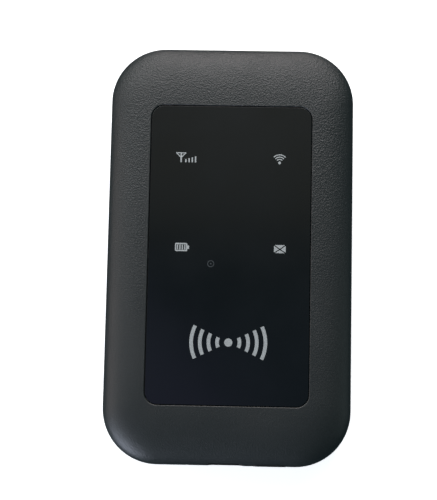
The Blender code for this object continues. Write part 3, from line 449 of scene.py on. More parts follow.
def finish(piece, material, body, slot, *nodes):
    """Gives a piece its finish and its body, and hides the CAD nodes that it stands for."""
    activate(piece)
    flats = piece.modifiers.new("keep_flats_flat", "WEIGHTED_NORMAL")
    flats.keep_sharp = True
    bpy.ops.object.modifier_apply(modifier=flats.name)
    piece.data.materials.clear()
    piece.data.materials.append(material)
    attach(piece, body)
    if nodes:
        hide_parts(*nodes)


def middle_of(node):
    low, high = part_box(node)
    return (low + high) / 2


crown_start = case_high.z - crown_height
housing = slab("front_shell", case_width, case_length, corner_radius, case_centre, seam_height,
               crown_start - seam_height)
select_level(housing, crown_start)
swell(crown_width, crown_height, crown_exponent, crown_steps, case_length, crown_end, crown_shift)
close_up(housing)
lip = slab("lip", case_width - 2 * lip_inset, case_length - 2 * lip_inset, corner_radius - lip_inset,
           case_centre, case_low.z, seam_height - case_low.z + 1 * MM)
join(housing, lip)

cavity_round = 6 * MM
cavity_rise = 2.2 * MM
cavity_top = case_high.z - wall
cavity_start = cavity_top - cavity_rise
cavity = slab("cavity", case_width - 2 * wall, case_length - 2 * wall, corner_radius - wall,
              case_centre, case_low.z - 1 * MM, cavity_start - case_low.z + 1 * MM)
select_level(cavity, cavity_start)
swell(cavity_round, cavity_rise, 2, 8)
close_up(cavity)
cut(housing, cavity)

rim_chamfer = 0.13 * MM
pan_wall = 1.4 * MM
pan_floor = window_low.z - 0.4 * MM
pan_bottom = pan_floor - 0.9 * MM
pan = slab("pan", window_width + 2 * pan_wall, window_length + 2 * pan_wall, window_corner + pan_wall,
           window_centre, pan_bottom, cavity_top + 0.5 * MM - pan_bottom)
join(housing, pan)
recess = slab("recess", window_width + 2 * window_fit, window_length + 2 * window_fit,
              window_corner + window_fit, window_centre, pan_floor, 3 * MM, segments=12)
cut(housing, recess)
flare_low = case_high.z - rim_chamfer
flare = slab("flare", window_width + 2 * window_fit, window_length + 2 * window_fit,
             window_corner + window_fit, window_centre, flare_low, 2 * rim_chamfer, segments=12)
select_level(flare, flare_low + 2 * rim_chamfer)
bpy.ops.transform.resize(
    value=(1 + 4 * rim_chamfer / window_width, 1 + 4 * rim_chamfer / window_length, 1),
    center_override=window_centre)
bpy.ops.object.mode_set(mode="OBJECT")
close_up(flare)
cut(housing, flare)
pipe_foot = 0.6 * MM
pipe_fit = 0.15 * MM
for symbol in symbols:
    pipe_low, pipe_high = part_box(f"light_pipe_{symbol}")
    shrink = Vector((pipe_foot - pipe_fit, pipe_foot - pipe_fit, 0))
    low, high = pipe_low + shrink, pipe_high - shrink
    cut(housing, bar("pipe_hole", (low.x, low.y, pan_bottom - 1 * MM),
                     (high.x, high.y, pan_floor + 1 * MM)))

boss_radius = 2 * MM
pilot_radius = 0.95 * MM
boss_top = cavity_top + 0.4 * MM
board_low, board_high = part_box("main_board")
battery_low, battery_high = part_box("battery_pack")
plate_low = battery_high.z + 0.4 * MM
plate_high = plate_low + 1 * MM
bosses = [(f"housing_screw_{number}", plate_high + 0.3 * MM) for number in range(1, 5)]
bosses += [(f"board_screw_{number}", board_high.z + 0.3 * MM) for number in range(1, 3)]
for screw, bottom in bosses:
    x, y, _ = middle_of(screw)
    join(housing, rod("boss", boss_radius, (x, y, bottom), (x, y, boss_top)))
    cut(housing, rod("pilot", pilot_radius, (x, y, bottom - 1 * MM), (x, y, cavity_top - 0.3 * MM), 24))

usb_low, usb_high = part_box("usb_shell")
usb_gap = 0.3 * MM
usb_chamfer = 0.9 * MM
outside = case_low.y - 1 * MM
inside = case_low.y + wall + 1 * MM
port_z = (usb_low.z + usb_high.z) / 2
cut(housing, inlet_block("usb_hole", (usb_low.x - usb_gap, usb_low.z - usb_gap),
                         (usb_high.x + usb_gap, usb_high.z + usb_gap), usb_chamfer, outside, inside))
button_low, button_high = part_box("power_button")
button_flange = 0.4 * MM
button_fit = 0.15 * MM
button_width = button_high.x - button_low.x - 2 * button_flange
button_height = button_high.z - button_low.z - 2 * button_flange
button_x = (button_low.x + button_high.x) / 2
cut(housing, oval("key_hole", button_width + 2 * button_fit, button_height + 2 * button_fit,
                  (button_x, port_z), outside, inside))
reset_x = middle_of("reset_switch_plunger").x
cut(housing, rod("pinhole", 0.5 * MM, (reset_x, outside, port_z), (reset_x, inside, port_z), 24))
round_off(housing, 0.1 * MM)

# Spark-eroded ABS: the mould's craters leave a grain of about 0.3 mm that breaks the highlight
# into sparkle. Handling has polished it in patches and worn it shallower towards the inlet's end,
# and the edges at the seam and round the foot are rubbed a little lighter and shinier.
textured_abs, shader = start_material("spark_eroded_abs")
place = add_node(textured_abs, "ShaderNodeTexCoord")
grain = add_node(textured_abs, "ShaderNodeTexNoise", [], [("Scale", 3500.0), ("Detail", 2.0)],
                 [("Vector", place, "Object")])
craters = add_node(textured_abs, "ShaderNodeTexVoronoi", [("feature", "SMOOTH_F1")],
                   [("Scale", 2800.0), ("Smoothness", 0.4)], [("Vector", place, "Object")])
handling = add_node(textured_abs, "ShaderNodeTexNoise", [], [("Scale", 70.0), ("Detail", 4.0)],
                    [("Vector", place, "Object")])
relief = add_node(textured_abs, "ShaderNodeMath", [("operation", "ADD")], [],
                  [(0, grain, "Fac"), (1, craters, "Distance")])
axes = add_node(textured_abs, "ShaderNodeSeparateXYZ", [], [], [("Vector", place, "Object")])
level = add_node(textured_abs, "ShaderNodeMapRange", [], [("From Max", 10 * MM)], [("Value", axes, "Z")])
rubbed = add_node(textured_abs, "ShaderNodeValToRGB", [], [], [("Fac", level, "Result")],
                  [(0.0, "ffffff"), (0.03, "ffffff"), (0.1, "000000"), (0.57, "000000"), (0.59, "ffffff"),
                   (0.64, "ffffff"), (0.67, "000000")])
worn = add_node(textured_abs, "ShaderNodeMath", [("operation", "MULTIPLY")], [],
                [(0, rubbed, "Color"), (1, handling, "Fac")])
fresh_colour = add_node(textured_abs, "ShaderNodeValToRGB", [], [], [("Fac", grain, "Fac")],
                        [(0.3, "131717"), (0.7, "1c2121")])
abs_colour = add_node(textured_abs, "ShaderNodeMix", [("data_type", "RGBA")], [("B", linear("3a4040"))],
                      [("Factor", worn, "Value"), ("A", fresh_colour, "Color")])
fresh_gloss = add_node(textured_abs, "ShaderNodeMapRange", [],
                       [("From Min", 0.3), ("From Max", 0.7), ("To Min", 0.44), ("To Max", 0.54)],
                       [("Value", handling, "Fac")])
abs_gloss = add_node(textured_abs, "ShaderNodeMath", [("operation", "MULTIPLY_ADD")], [(1, -0.25)],
                     [(0, worn, "Value"), (2, fresh_gloss, "Result")])
held = add_node(textured_abs, "ShaderNodeMapRange", [],
                [("From Min", -25 * MM), ("From Max", 40 * MM), ("To Min", 0.35), ("To Max", 1.0)],
                [("Value", axes, "Y")])
abs_bump = add_node(textured_abs, "ShaderNodeBump", [], [("Distance", 0.00009)],
                    [("Height", relief, "Value"), ("Strength", held, "Result")])
shader.inputs["IOR"].default_value = 1.53
feed(textured_abs, shader, ("Base Color", abs_colour, "Result"), ("Roughness", abs_gloss, "Value"),
     ("Normal", abs_bump, "Normal"))
finish(housing, textured_abs, "housing", "textured_plastic", "front_housing")


# ---------------------------------------------------------------- Display window
# A sheet of black gloss acrylic, cut with a rounded edge and stuck into the pan a little below
# the rim by a frame of thin foam tape.

window = slab("window_panel", window_width, window_length, window_corner, window_centre, window_low.z,
              window_high.z - window_low.z, segments=12)
soften(window, 0.12 * MM, 3)
close_up(window, 40)

# Cast acrylic: jet black with a slight film of smears, which dulls it in patches.
gloss_acrylic, shader = start_material("black_cast_acrylic")
place = add_node(gloss_acrylic, "ShaderNodeTexCoord")
smears = add_node(gloss_acrylic, "ShaderNodeTexNoise", [], [("Scale", 45.0), ("Detail", 5.0)],
                  [("Vector", place, "Object")])
film = add_node(gloss_acrylic, "ShaderNodeMapRange", [],
                [("From Min", 0.35), ("From Max", 0.75), ("To Min", 0.16), ("To Max", 0.24)],
                [("Value", smears, "Fac")])
acrylic_colour = add_node(gloss_acrylic, "ShaderNodeValToRGB", [], [], [("Fac", smears, "Fac")],
                          [(0.3, "080b0d"), (0.7, "0b0f12")])
shader.inputs["IOR"].default_value = 1.49
feed(gloss_acrylic, shader, ("Base Color", acrylic_colour, "Color"), ("Roughness", film, "Result"))
finish(window, gloss_acrylic, "housing", "gloss_black", "display_window")

# Foam tape: closed cells of about 0.15 mm, matt black.
foam_tape, shader = start_material("black_foam_tape")
place = add_node(foam_tape, "ShaderNodeTexCoord")
cells = add_node(foam_tape, "ShaderNodeTexVoronoi", [], [("Scale", 6000.0)], [("Vector", place, "Object")])
tape_colour = add_node(foam_tape, "ShaderNodeValToRGB", [], [], [("Fac", cells, "Distance")],
                       [(0.0, "0a0a0a"), (0.7, "1c1c1c")])
tape_bump = add_node(foam_tape, "ShaderNodeBump", [], [("Strength", 0.6), ("Distance", 0.00004)],
                     [("Height", cells, "Distance")])
shader.inputs["Roughness"].default_value = 0.85
feed(foam_tape, shader, ("Base Color", tape_colour, "Color"), ("Normal", tape_bump, "Normal"))
paint(foam_tape, "window_adhesive")


# ---------------------------------------------------------------- Symbols on the window
# Four status symbols, a small ring and a broadcast sign, screen printed in silver ink on the
# window's face. Each is a film of ink, drawn 0.02 mm thick.

ink_low = window_high.z - 0.01 * MM
ink_high = window_high.z + 0.02 * MM


def stroke(name, start, end, width, spare=0):
    """A straight line of ink between two points of the window, deeper by the spare if it cuts."""
    start, end = Vector((*start, 0)), Vector((*end, 0))
    along = end - start
    piece = bar(name, (-along.length / 2, -width / 2, ink_low - spare),
                (along.length / 2, width / 2, ink_high + spare))
    piece.location = (start + end) / 2
    piece.rotation_euler.z = math.atan2(along.y, along.x)
    bpy.ops.object.transform_apply()
    return piece


def arc(name, centre, radius, width, middle, sweep, steps=24):
    """An arc of ink: a small upright plane spun clockwise about the centre. Angles are in degrees."""
    bpy.ops.object.select_all(action="DESELECT")
    bpy.ops.mesh.primitive_plane_add(size=1, location=(radius, 0, (ink_low + ink_high) / 2),
                                     rotation=(math.pi / 2, 0, 0))
    piece = bpy.context.object
    piece.name = name
    piece.scale = (width, ink_high - ink_low, 1)
    bpy.ops.object.transform_apply()
    bpy.ops.object.mode_set(mode="EDIT")
    bpy.ops.mesh.select_all(action="SELECT")
    bpy.ops.mesh.spin(steps=steps, angle=math.radians(sweep), center=(0, 0, 0), axis=(0, 0, 1))
    bpy.ops.object.mode_set(mode="OBJECT")
    piece.location = (*centre, 0)
    piece.rotation_euler.z = math.radians(middle + sweep / 2)
    bpy.ops.object.transform_apply()
    close_up(piece)
    return piece


def spot(name, centre, radius):
    """A round dot of ink."""
    return rod(name, radius, (*centre, ink_low), (*centre, ink_high), 24)


def gather(name, pieces):
    """Joins separate shapes into one object."""
    bpy.ops.object.select_all(action="DESELECT")
    for piece in pieces:
        piece.select_set(True)
    bpy.context.view_layer.objects.active = pieces[0]
    bpy.ops.object.join()
    pieces[0].name = name
    return pieces[0]


# Signal: a mast with a triangle of wires, and four rising bars.
signal_x, signal_y = -11.75 * MM, 21.15 * MM
mast_top = signal_y + 2.35 * MM
mast_width = 0.34 * MM
wire = 0.24 * MM
wire_half = 1.2 * MM
wire_y = mast_top - wire / 2
fork = (signal_x, signal_y + 1.1 * MM)
signal_bar = 0.33 * MM
mast = stroke("mast", (signal_x, signal_y), (signal_x, mast_top), mast_width)
join(mast, stroke("top_wire", (signal_x - wire_half, wire_y), (signal_x + wire_half, wire_y), wire))
for side in (-1, 1):
    join(mast, stroke("side_wire", (signal_x + side * 1.08 * MM, wire_y), fork, wire))
bars = []
for number in range(4):
    bar_x = signal_x + (1.12 + 0.76 * number) * MM
    bar_height = (0.75 + 0.22 * number) * MM
    bars.append(stroke("bar", (bar_x, signal_y), (bar_x, signal_y + bar_height), signal_bar))
signal_symbol = gather("signal_symbol", [mast, *bars])

# Wireless: three arcs over a dot.
wireless_x, wireless_y = 11.45 * MM, 21.35 * MM
dot_radius = 0.34 * MM
wave_width = 0.24 * MM
wave_sweep = 92
waves = [spot("dot", (wireless_x, wireless_y), dot_radius)]
for radius in (0.84, 1.38, 1.92):
    waves.append(arc("wave", (wireless_x, wireless_y), radius * MM, wave_width, 90, wave_sweep))
wireless_symbol = gather("wireless_symbol", waves)

# Battery: a rounded cell with a nub, and four bars of charge in it.
battery_symbol_x, battery_symbol_y = -11.25 * MM, 1.05 * MM
symbol_corner = 0.3 * MM
cell_frame = slab("cell_frame", 2.9 * MM, 1.95 * MM, symbol_corner, (battery_symbol_x, battery_symbol_y),
                  ink_low, ink_high - ink_low, segments=5)
hole_half = Vector((1.15 * MM, 0.65 * MM))
cut(cell_frame, bar("hole", (battery_symbol_x - hole_half.x, battery_symbol_y - hole_half.y, ink_low - MM),
                    (battery_symbol_x + hole_half.x, battery_symbol_y + hole_half.y, ink_high + MM)))
nub_width = 0.8 * MM
join(cell_frame, stroke("nub", (battery_symbol_x + 1.35 * MM, battery_symbol_y),
                        (battery_symbol_x + 1.85 * MM, battery_symbol_y), nub_width))
charge_half = 0.58 * MM
charge_width = 0.3 * MM
charge_step = 0.56
charge = []
for number in range(4):
    bar_x = battery_symbol_x + (number - 1.5) * charge_step * MM
    charge.append(stroke("charge", (bar_x, battery_symbol_y - charge_half),
                         (bar_x, battery_symbol_y + charge_half), charge_width))
battery_symbol = gather("battery_symbol", [cell_frame, *charge])

# Message: an envelope whose flap and folds are left open.
message_x, message_y = 11.8 * MM, 0.95 * MM
envelope = slab("message_symbol", 2.75 * MM, 1.9 * MM, symbol_corner, (message_x, message_y),
                ink_low, ink_high - ink_low, segments=4)
fold_width = 0.24 * MM
fold = (message_x, message_y - 0.1 * MM)
for side in (-1, 1):
    for corner_y in (0.95, -0.95):
        corner = (message_x + side * 1.4 * MM, message_y + corner_y * MM)
        cut(envelope, stroke("fold", fold, corner, fold_width, spare=MM))

# Ring: a small thin circle with a speck in it, in thinner ink.
ring_x, ring_y = -4.25 * MM, -2.75 * MM
ring_outer = 0.82 * MM
ring_inner = 0.62 * MM
speck_radius = 0.2 * MM
ring_hole = rod("ring_hole", ring_inner, (ring_x, ring_y, ink_low - MM), (ring_x, ring_y, ink_high + MM), 40)
ring = rod("ring", ring_outer, (ring_x, ring_y, ink_low), (ring_x, ring_y, ink_high), 40)
cut(ring, ring_hole)
ring = gather("ring_symbol", [ring, spot("speck", (ring_x, ring_y), speck_radius)])

# Broadcast sign: a dot between two sets of four waves.
sign_x, sign_y = 0.2 * MM, -21 * MM
source_radius = 0.95 * MM
sign_width = 0.85 * MM
sign_sweep = 52
sign = [spot("source", (sign_x, sign_y), source_radius)]
for side in (0, 180):
    for radius in (2.6, 4.6, 6.6, 8.6):
        sign.append(arc("sign_wave", (sign_x, sign_y), radius * MM, sign_width, side, sign_sweep, 32))
broadcast_symbol = gather("broadcast_symbol", sign)

# Silver screen ink: fine aluminium flakes in clear binder, so it glints unevenly.
silver_ink, shader = start_material("silver_screen_ink")
place = add_node(silver_ink, "ShaderNodeTexCoord")
flakes = add_node(silver_ink, "ShaderNodeTexNoise", [], [("Scale", 5200.0), ("Detail", 2.0)],
                  [("Vector", place, "Object")])
ink_colour = add_node(silver_ink, "ShaderNodeValToRGB", [], [], [("Fac", flakes, "Fac")],
                      [(0.3, "8b9090"), (0.7, "b4b8b8")])
ink_gloss = add_node(silver_ink, "ShaderNodeMapRange", [], [("To Min", 0.4), ("To Max", 0.62)],
                     [("Value", flakes, "Fac")])
shader.inputs["Metallic"].default_value = 0.3
feed(silver_ink, shader, ("Base Color", ink_colour, "Color"), ("Roughness", ink_gloss, "Result"))
for symbol in (signal_symbol, wireless_symbol, battery_symbol, envelope, broadcast_symbol):
    close_up(symbol)
    finish(symbol, silver_ink, "housing", "white_label")

# Smoke ink: the same binder with hardly any flake.
smoke_ink, shader = start_material("smoke_screen_ink")
place = add_node(smoke_ink, "ShaderNodeTexCoord")
flakes = add_node(smoke_ink, "ShaderNodeTexNoise", [], [("Scale", 5200.0), ("Detail", 2.0)],
                  [("Vector", place, "Object")])
smoke_colour = add_node(smoke_ink, "ShaderNodeValToRGB", [], [], [("Fac", flakes, "Fac")],
                        [(0.3, "22272a"), (0.7, "31373a")])
shader.inputs["Roughness"].default_value = 0.5
feed(smoke_ink, shader, ("Base Color", smoke_colour, "Color"))
finish(ring, smoke_ink, "housing", "gloss_black")


# ---------------------------------------------------------------- Power button
# A capsule-shaped key moulded in smooth black ABS, held behind the end wall by a flange, which is
# thin and low enough to clear the rounded inside of the wall.

cap_back = button_high.y - 0.1 * MM
flange_front = button_high.y - 0.3 * MM
button = oval("power_key_cap", button_width, button_height, (button_x, port_z), button_low.y, cap_back)
join(button, oval("flange", button_width + 2 * button_flange, button_height + button_flange,
                  (button_x, port_z), flange_front, button_high.y))
round_off(button, 0.18 * MM, 3)

# Smooth ABS: polished mould, satin where fingers rub it, with a faint flow pattern.
smooth_abs, shader = start_material("smooth_black_abs")
place = add_node(smooth_abs, "ShaderNodeTexCoord")
flow = add_node(smooth_abs, "ShaderNodeTexNoise", [], [("Scale", 240.0), ("Detail", 4.0)],
                [("Vector", place, "Object")])
fine = add_node(smooth_abs, "ShaderNodeTexNoise", [], [("Scale", 5000.0), ("Detail", 2.0)],
                [("Vector", place, "Object")])
smooth_colour = add_node(smooth_abs, "ShaderNodeValToRGB", [], [], [("Fac", flow, "Fac")],
                         [(0.3, "17191a"), (0.7, "212425")])
smooth_gloss = add_node(smooth_abs, "ShaderNodeMapRange", [],
                        [("From Min", 0.3), ("From Max", 0.7), ("To Min", 0.34), ("To Max", 0.5)],
                        [("Value", flow, "Fac")])
smooth_bump = add_node(smooth_abs, "ShaderNodeBump", [], [("Strength", 0.2), ("Distance", 0.00002)],
                       [("Height", fine, "Fac")])
shader.inputs["IOR"].default_value = 1.53
feed(smooth_abs, shader, ("Base Color", smooth_colour, "Color"), ("Roughness", smooth_gloss, "Result"),
     ("Normal", smooth_bump, "Normal"))
finish(button, smooth_abs, "power_key", "black_plastic", "power_button")
paint(smooth_abs, "power_switch_plunger", "power_switch_body", "reset_switch_plunger",
      "reset_switch_body", "battery_contact_block")


# ---------------------------------------------------------------- Micro USB inlet
# A shell folded from tinned steel sheet around a moulded tongue, which carries five gold-plated
# contacts on its underside. Two windows in the roof take the plug's latches.

usb_sheet = 0.25 * MM
usb_front = usb_low.y + 0.35 * MM
latch_x = 1.9 * MM
latch_half = 0.45 * MM
latch_start = usb_low.y + 1.4 * MM
latch_end = usb_low.y + 2.6 * MM
fold_half = 0.04 * MM
inlet = inlet_block("usb_inlet_shell", (usb_low.x, usb_low.z), (usb_high.x, usb_high.z), usb_chamfer,
                    usb_front, usb_high.y)
cut(inlet, inlet_block("mouth", (usb_low.x + usb_sheet, usb_low.z + usb_sheet),
                       (usb_high.x - usb_sheet, usb_high.z - usb_sheet), usb_chamfer,
                       usb_low.y - 1 * MM, usb_high.y - usb_sheet))
for x in (-latch_x, latch_x):
    cut(inlet, bar("latch_window", (x - latch_half, latch_start, usb_high.z - 1 * MM),
                   (x + latch_half, latch_end, usb_high.z + 1 * MM)))
cut(inlet, bar("fold_seam", (-fold_half, usb_low.y - 1 * MM, usb_low.z - 1 * MM),
               (fold_half, usb_high.y - 1 * MM, usb_low.z + usb_sheet * 1.4)))
round_off(inlet, 0.05 * MM)
finish(inlet, tinned_steel, "housing", "tinned_steel", "usb_shell")

tongue_low, tongue_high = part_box("usb_tongue")
blade_half = 1.8 * MM
blade_rise = 0.325 * MM
base_front = tongue_high.y - 1 * MM
tongue_z = (tongue_low.z + tongue_high.z) / 2
tongue = bar("usb_tongue_blade", (-blade_half, tongue_low.y, tongue_z - blade_rise),
             (blade_half, tongue_high.y - 0.2 * MM, tongue_z + blade_rise))
join(tongue, bar("base", (tongue_low.x, base_front, tongue_low.z), tongue_high))
round_off(tongue, 0.06 * MM)
finish(tongue, smooth_abs, "housing", "black_plastic", "usb_tongue")

pad_pitch = 0.65
pad_half = 0.17 * MM
pad_start = tongue_low.y + 0.25 * MM
pad_end = tongue_high.y - 1.1 * MM
pads = []
for number in range(5):
    x = (number - 2) * pad_pitch * MM
    pads.append(bar("pad", (x - pad_half, pad_start, tongue_z - 0.38 * MM),
                    (x + pad_half, pad_end, tongue_z - 0.3 * MM)))
usb_pads = gather("usb_contacts", pads)
soften(usb_pads, 0.02 * MM)
close_up(usb_pads, 40)

# Gold flash over nickel: warm and bright, with wiping marks along the contact 0.1 mm apart.
gold_plate, shader = start_material("gold_flashed_contact")
place = add_node(gold_plate, "ShaderNodeTexCoord")
wiped = add_node(gold_plate, "ShaderNodeMapping", [], [("Scale", (9000.0, 700.0, 9000.0))],
                 [("Vector", place, "Object")])
wipes = add_node(gold_plate, "ShaderNodeTexNoise", [], [("Scale", 1.0), ("Detail", 3.0)],
                 [("Vector", wiped, "Vector")])
gold_colour = add_node(gold_plate, "ShaderNodeValToRGB", [], [], [("Fac", wipes, "Fac")],
                       [(0.3, "b8923f"), (0.7, "e0bd68")])
gold_gloss = add_node(gold_plate, "ShaderNodeMapRange", [], [("To Min", 0.16), ("To Max", 0.36)],
                      [("Value", wipes, "Fac")])
shader.inputs["Metallic"].default_value = 1.0
feed(gold_plate, shader, ("Base Color", gold_colour, "Color"), ("Roughness", gold_gloss, "Result"))
finish(usb_pads, gold_plate, "housing", "gold_contact")
clips = [f"{antenna}_antenna_clip" for antenna in ("main", "diversity", "wireless")]
paint(gold_plate, *clips, *(f"battery_contact_{number}" for number in (1, 2, 3)))


# ---------------------------------------------------------------- Antennas
# Copper on amber polyimide film over plastic carriers, fed by gold-plated spring clips.

flex_film, shader = start_material("copper_on_polyimide")
place = add_node(flex_film, "ShaderNodeTexCoord")
meander = add_node(flex_film, "ShaderNodeTexBrick", [("offset", 0.5)],
                   [("Scale", 1.0), ("Mortar Size", 0.0002), ("Brick Width", 0.0036), ("Row Height", 0.0012),
                    ("Color1", linear("b26a34")), ("Color2", linear("bb7440")), ("Mortar", linear("7c4318"))],
                   [("Vector", place, "Object")])
film_waves = add_node(flex_film, "ShaderNodeTexNoise", [], [("Scale", 600.0), ("Detail", 2.0)],
                      [("Vector", place, "Object")])
film_gloss = add_node(flex_film, "ShaderNodeMapRange", [], [("To Min", 0.25), ("To Max", 0.45)],
                      [("Value", film_waves, "Fac")])
shader.inputs["Metallic"].default_value = 0.35
feed(flex_film, shader, ("Base Color", meander, "Color"), ("Roughness", film_gloss, "Result"))
paint(flex_film, "main_antenna", "diversity_antenna", "wireless_antenna")


# ---------------------------------------------------------------- Rear housing
# The plate that closes the electronics in: smooth black ABS with a frame for the battery, slots
# for the two card sockets and the battery contacts, and deep seats for the four screws.

def edge_point(axis, side, inset, along, height):
    """A point at an inset from a side of the case (axis 0) or from an end of it (axis 1)."""
    across = side * ((case_width, case_length)[axis] / 2 - inset)
    return (along, across, height) if axis else (across, along, height)


def edge_bar(name, axis, side, insets, along, length, bottom, top):
    """A block between two insets from a side or an end of the case."""
    first = edge_point(axis, side, insets[0], along - length / 2, bottom)
    last = edge_point(axis, side, insets[1], along + length / 2, top)
    return bar(name, list(map(min, first, last)), list(map(max, first, last)))


chassis_inset = 1.9 * MM
bay_wall = 1 * MM
bay_fit = 0.3 * MM
bay_grow = bay_wall + bay_fit
plate_mid = (plate_low + plate_high) / 2
chassis = slab("battery_chassis", case_width - 2 * chassis_inset, case_length - 2 * chassis_inset,
               corner_radius - chassis_inset, case_centre, plate_low, plate_high - plate_low)
join(chassis, bar("bay_block", (battery_low.x - bay_grow, battery_low.y - bay_grow, battery_low.z),
                  (battery_high.x + bay_grow, battery_high.y + bay_grow, plate_mid)))
cut(chassis, bar("bay", (battery_low.x - bay_fit, battery_low.y - bay_fit, battery_low.z - 1 * MM),
                 (battery_high.x + bay_fit, battery_high.y + bay_fit, plate_low)))
seat_radius = 3 * MM
seat_low = plate_low - 1.4 * MM
seat_z = plate_low + 0.25 * MM
head_hole = 1.9 * MM
shank_hole = 1.1 * MM
screw_places = [middle_of(f"housing_screw_{number}") for number in range(1, 5)]
for x, y, _ in screw_places:
    join(chassis, rod("seat", seat_radius, (x, y, seat_low), (x, y, plate_mid), 40))
for x, y, _ in screw_places:
    cut(chassis, rod("head_hole", head_hole, (x, y, seat_z - 3 * MM), (x, y, seat_z)))
    cut(chassis, rod("shank_hole", shank_hole, (x, y, seat_z - 1 * MM), (x, y, plate_high + 1 * MM), 24))
post_radius = 1.2 * MM
post_step = 10 * MM
post_top = board_low.z - 0.3 * MM
for number in (1, 2):
    x, y, _ = middle_of(f"board_screw_{number}")
    for step in (-post_step, post_step):
        join(chassis, rod("post", post_radius, (x, y + step, plate_mid), (x, y + step, post_top), 24))

tab_width = 5 * MM
tab_slot = tab_width + 0.6 * MM
tab_reach = 3 * MM
side_tab_y = 24 * MM
end_tab_x = 12 * MM
below = plate_low - 1 * MM
above = plate_high + 1 * MM
tab_spots = ((0, -side_tab_y), (0, side_tab_y), (1, -end_tab_x), (1, end_tab_x))
tab_places = [(axis, side, along) for side in (-1, 1) for axis, along in tab_spots]
for axis, side, along in tab_places:
    cut(chassis, edge_bar("tab_slot", axis, side, (tab_reach, -tab_reach), along, tab_slot, below, above))
card_slide = 10 * MM
window_gap = 0.3 * MM
for socket in ("sim_socket", "memory_card_socket"):
    low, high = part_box(socket)
    cut(chassis, bar("card_window", (low.x - window_gap, low.y - window_gap, below),
                     (high.x + window_gap, high.y + card_slide + window_gap, above)))
block_low, block_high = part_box("battery_contact_block")
cut(chassis, bar("contact_slot",
                 (block_low.x - window_gap, block_low.y - window_gap, battery_low.z - 1 * MM),
                 (block_high.x + window_gap, battery_low.y, above)))
finger_half = 7 * MM
bay_end = battery_high.y + bay_grow
battery_mid_z = (battery_low.z + battery_high.z) / 2
cut(chassis, bar("finger_notch", (-finger_half, bay_end - 2 * MM, battery_low.z - 1 * MM),
                 (finger_half, bay_end + 2 * MM, battery_mid_z)))
round_off(chassis, 0.12 * MM)
finish(chassis, smooth_abs, "housing", "black_plastic", "rear_housing")


# ---------------------------------------------------------------- Card sockets
# Two low boxes stamped from tinned steel on the back of the board: a wide one for the SIM and a
# narrower one for a memory card. Their roofs are slit into springs that press on the card.

way_half = 0.375 * MM
spring_half = 0.7 * MM
slit_half = 0.12 * MM
thumb_radius = 2.2 * MM
for socket, slot_width in (("sim_socket", 12.7 * MM), ("memory_card_socket", 11.4 * MM)):
    low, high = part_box(socket)
    middle = (low + high) / 2
    shell = bar(f"{socket}_shell", low, high)
    cut(shell, bar("card_way", (middle.x - slot_width / 2, low.y + 1.4 * MM, middle.z - way_half),
                   (middle.x + slot_width / 2, high.y + 1 * MM, middle.z + way_half)))
    for column in (-1, 0, 1):
        x = middle.x + column * slot_width / 3.4
        for edge_x in (x - spring_half, x + spring_half):
            cut(shell, bar("slit", (edge_x - slit_half, low.y + 2.2 * MM, low.z - 1 * MM),
                           (edge_x + slit_half, high.y - 2.4 * MM, middle.z)))
    thumb_y = high.y + 0.6 * MM
    cut(shell, rod("thumb_cut", thumb_radius, (middle.x, thumb_y, low.z - 1 * MM),
                   (middle.x, thumb_y, middle.z), 40))
    round_off(shell, 0.06 * MM)
    finish(shell, tinned_steel, "housing", "tinned_steel", socket)


# ---------------------------------------------------------------- Screws
# Zinc-plated steel pan-head screws with a cross recess: four hold the two housings together and
# two hold the board.

# Zinc plate: grey with a slight bluish bloom, rubbed brighter where the driver turned in it.
zinc_plate, shader = start_material("zinc_plated_screw_steel")
place = add_node(zinc_plate, "ShaderNodeTexCoord")
bloom = add_node(zinc_plate, "ShaderNodeTexNoise", [], [("Scale", 1500.0), ("Detail", 4.0)],
                 [("Vector", place, "Object")])
zinc_colour = add_node(zinc_plate, "ShaderNodeValToRGB", [], [], [("Fac", bloom, "Fac")],
                       [(0.3, "868b90"), (0.7, "aeb2b5")])
zinc_gloss = add_node(zinc_plate, "ShaderNodeMapRange", [], [("To Min", 0.24), ("To Max", 0.48)],
                      [("Value", bloom, "Fac")])
shader.inputs["Metallic"].default_value = 1.0
feed(zinc_plate, shader, ("Base Color", zinc_colour, "Color"), ("Roughness", zinc_gloss, "Result"))

head_radius = 1.6 * MM
head_height = 0.7 * MM
shank_radius = 0.8 * MM
thread_pitch = 0.5 * MM
recess_half = 0.22 * MM
recess_depth = 0.35 * MM
arm = head_radius * 0.55
for screw in [f"housing_screw_{number}" for number in range(1, 5)] + ["board_screw_1", "board_screw_2"]:
    low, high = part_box(screw)
    x, y = (low.x + high.x) / 2, (low.y + high.y) / 2
    head = rod(f"{screw}_turned", head_radius, (x, y, low.z), (x, y, low.z + head_height), 40)
    select_level(head, low.z)
    swell(head_radius * 0.45, 0.001 * MM, 2, 1)
    close_up(head)
    soften(head, 0.16 * MM, 3, 60)
    core = rod("core", shank_radius * 0.82, (x, y, low.z + head_height / 2), (x, y, high.z), 24)
    join(head, core)
    turns = int((high.z - low.z - head_height - 0.4 * MM) / thread_pitch)
    for number in range(turns):
        bottom = low.z + head_height + 0.2 * MM + number * thread_pitch
        join(head, rod("thread", shank_radius, (x, y, bottom), (x, y, bottom + thread_pitch * 0.45), 24))
    for half_width, half_length in ((arm, recess_half), (recess_half, arm)):
        cut(head, bar("recess", (x - half_width, y - half_length, low.z - 1 * MM),
                      (x + half_width, y + half_length, low.z + recess_depth)))
    close_up(head, 40)
    finish(head, zinc_plate, "housing", "screw_steel", screw)


# ---------------------------------------------------------------- Battery
# A flat lithium cell in dark printed film, with a moulded cap at the contact end, a white label
# under it and three gold-plated terminals in a pocket.

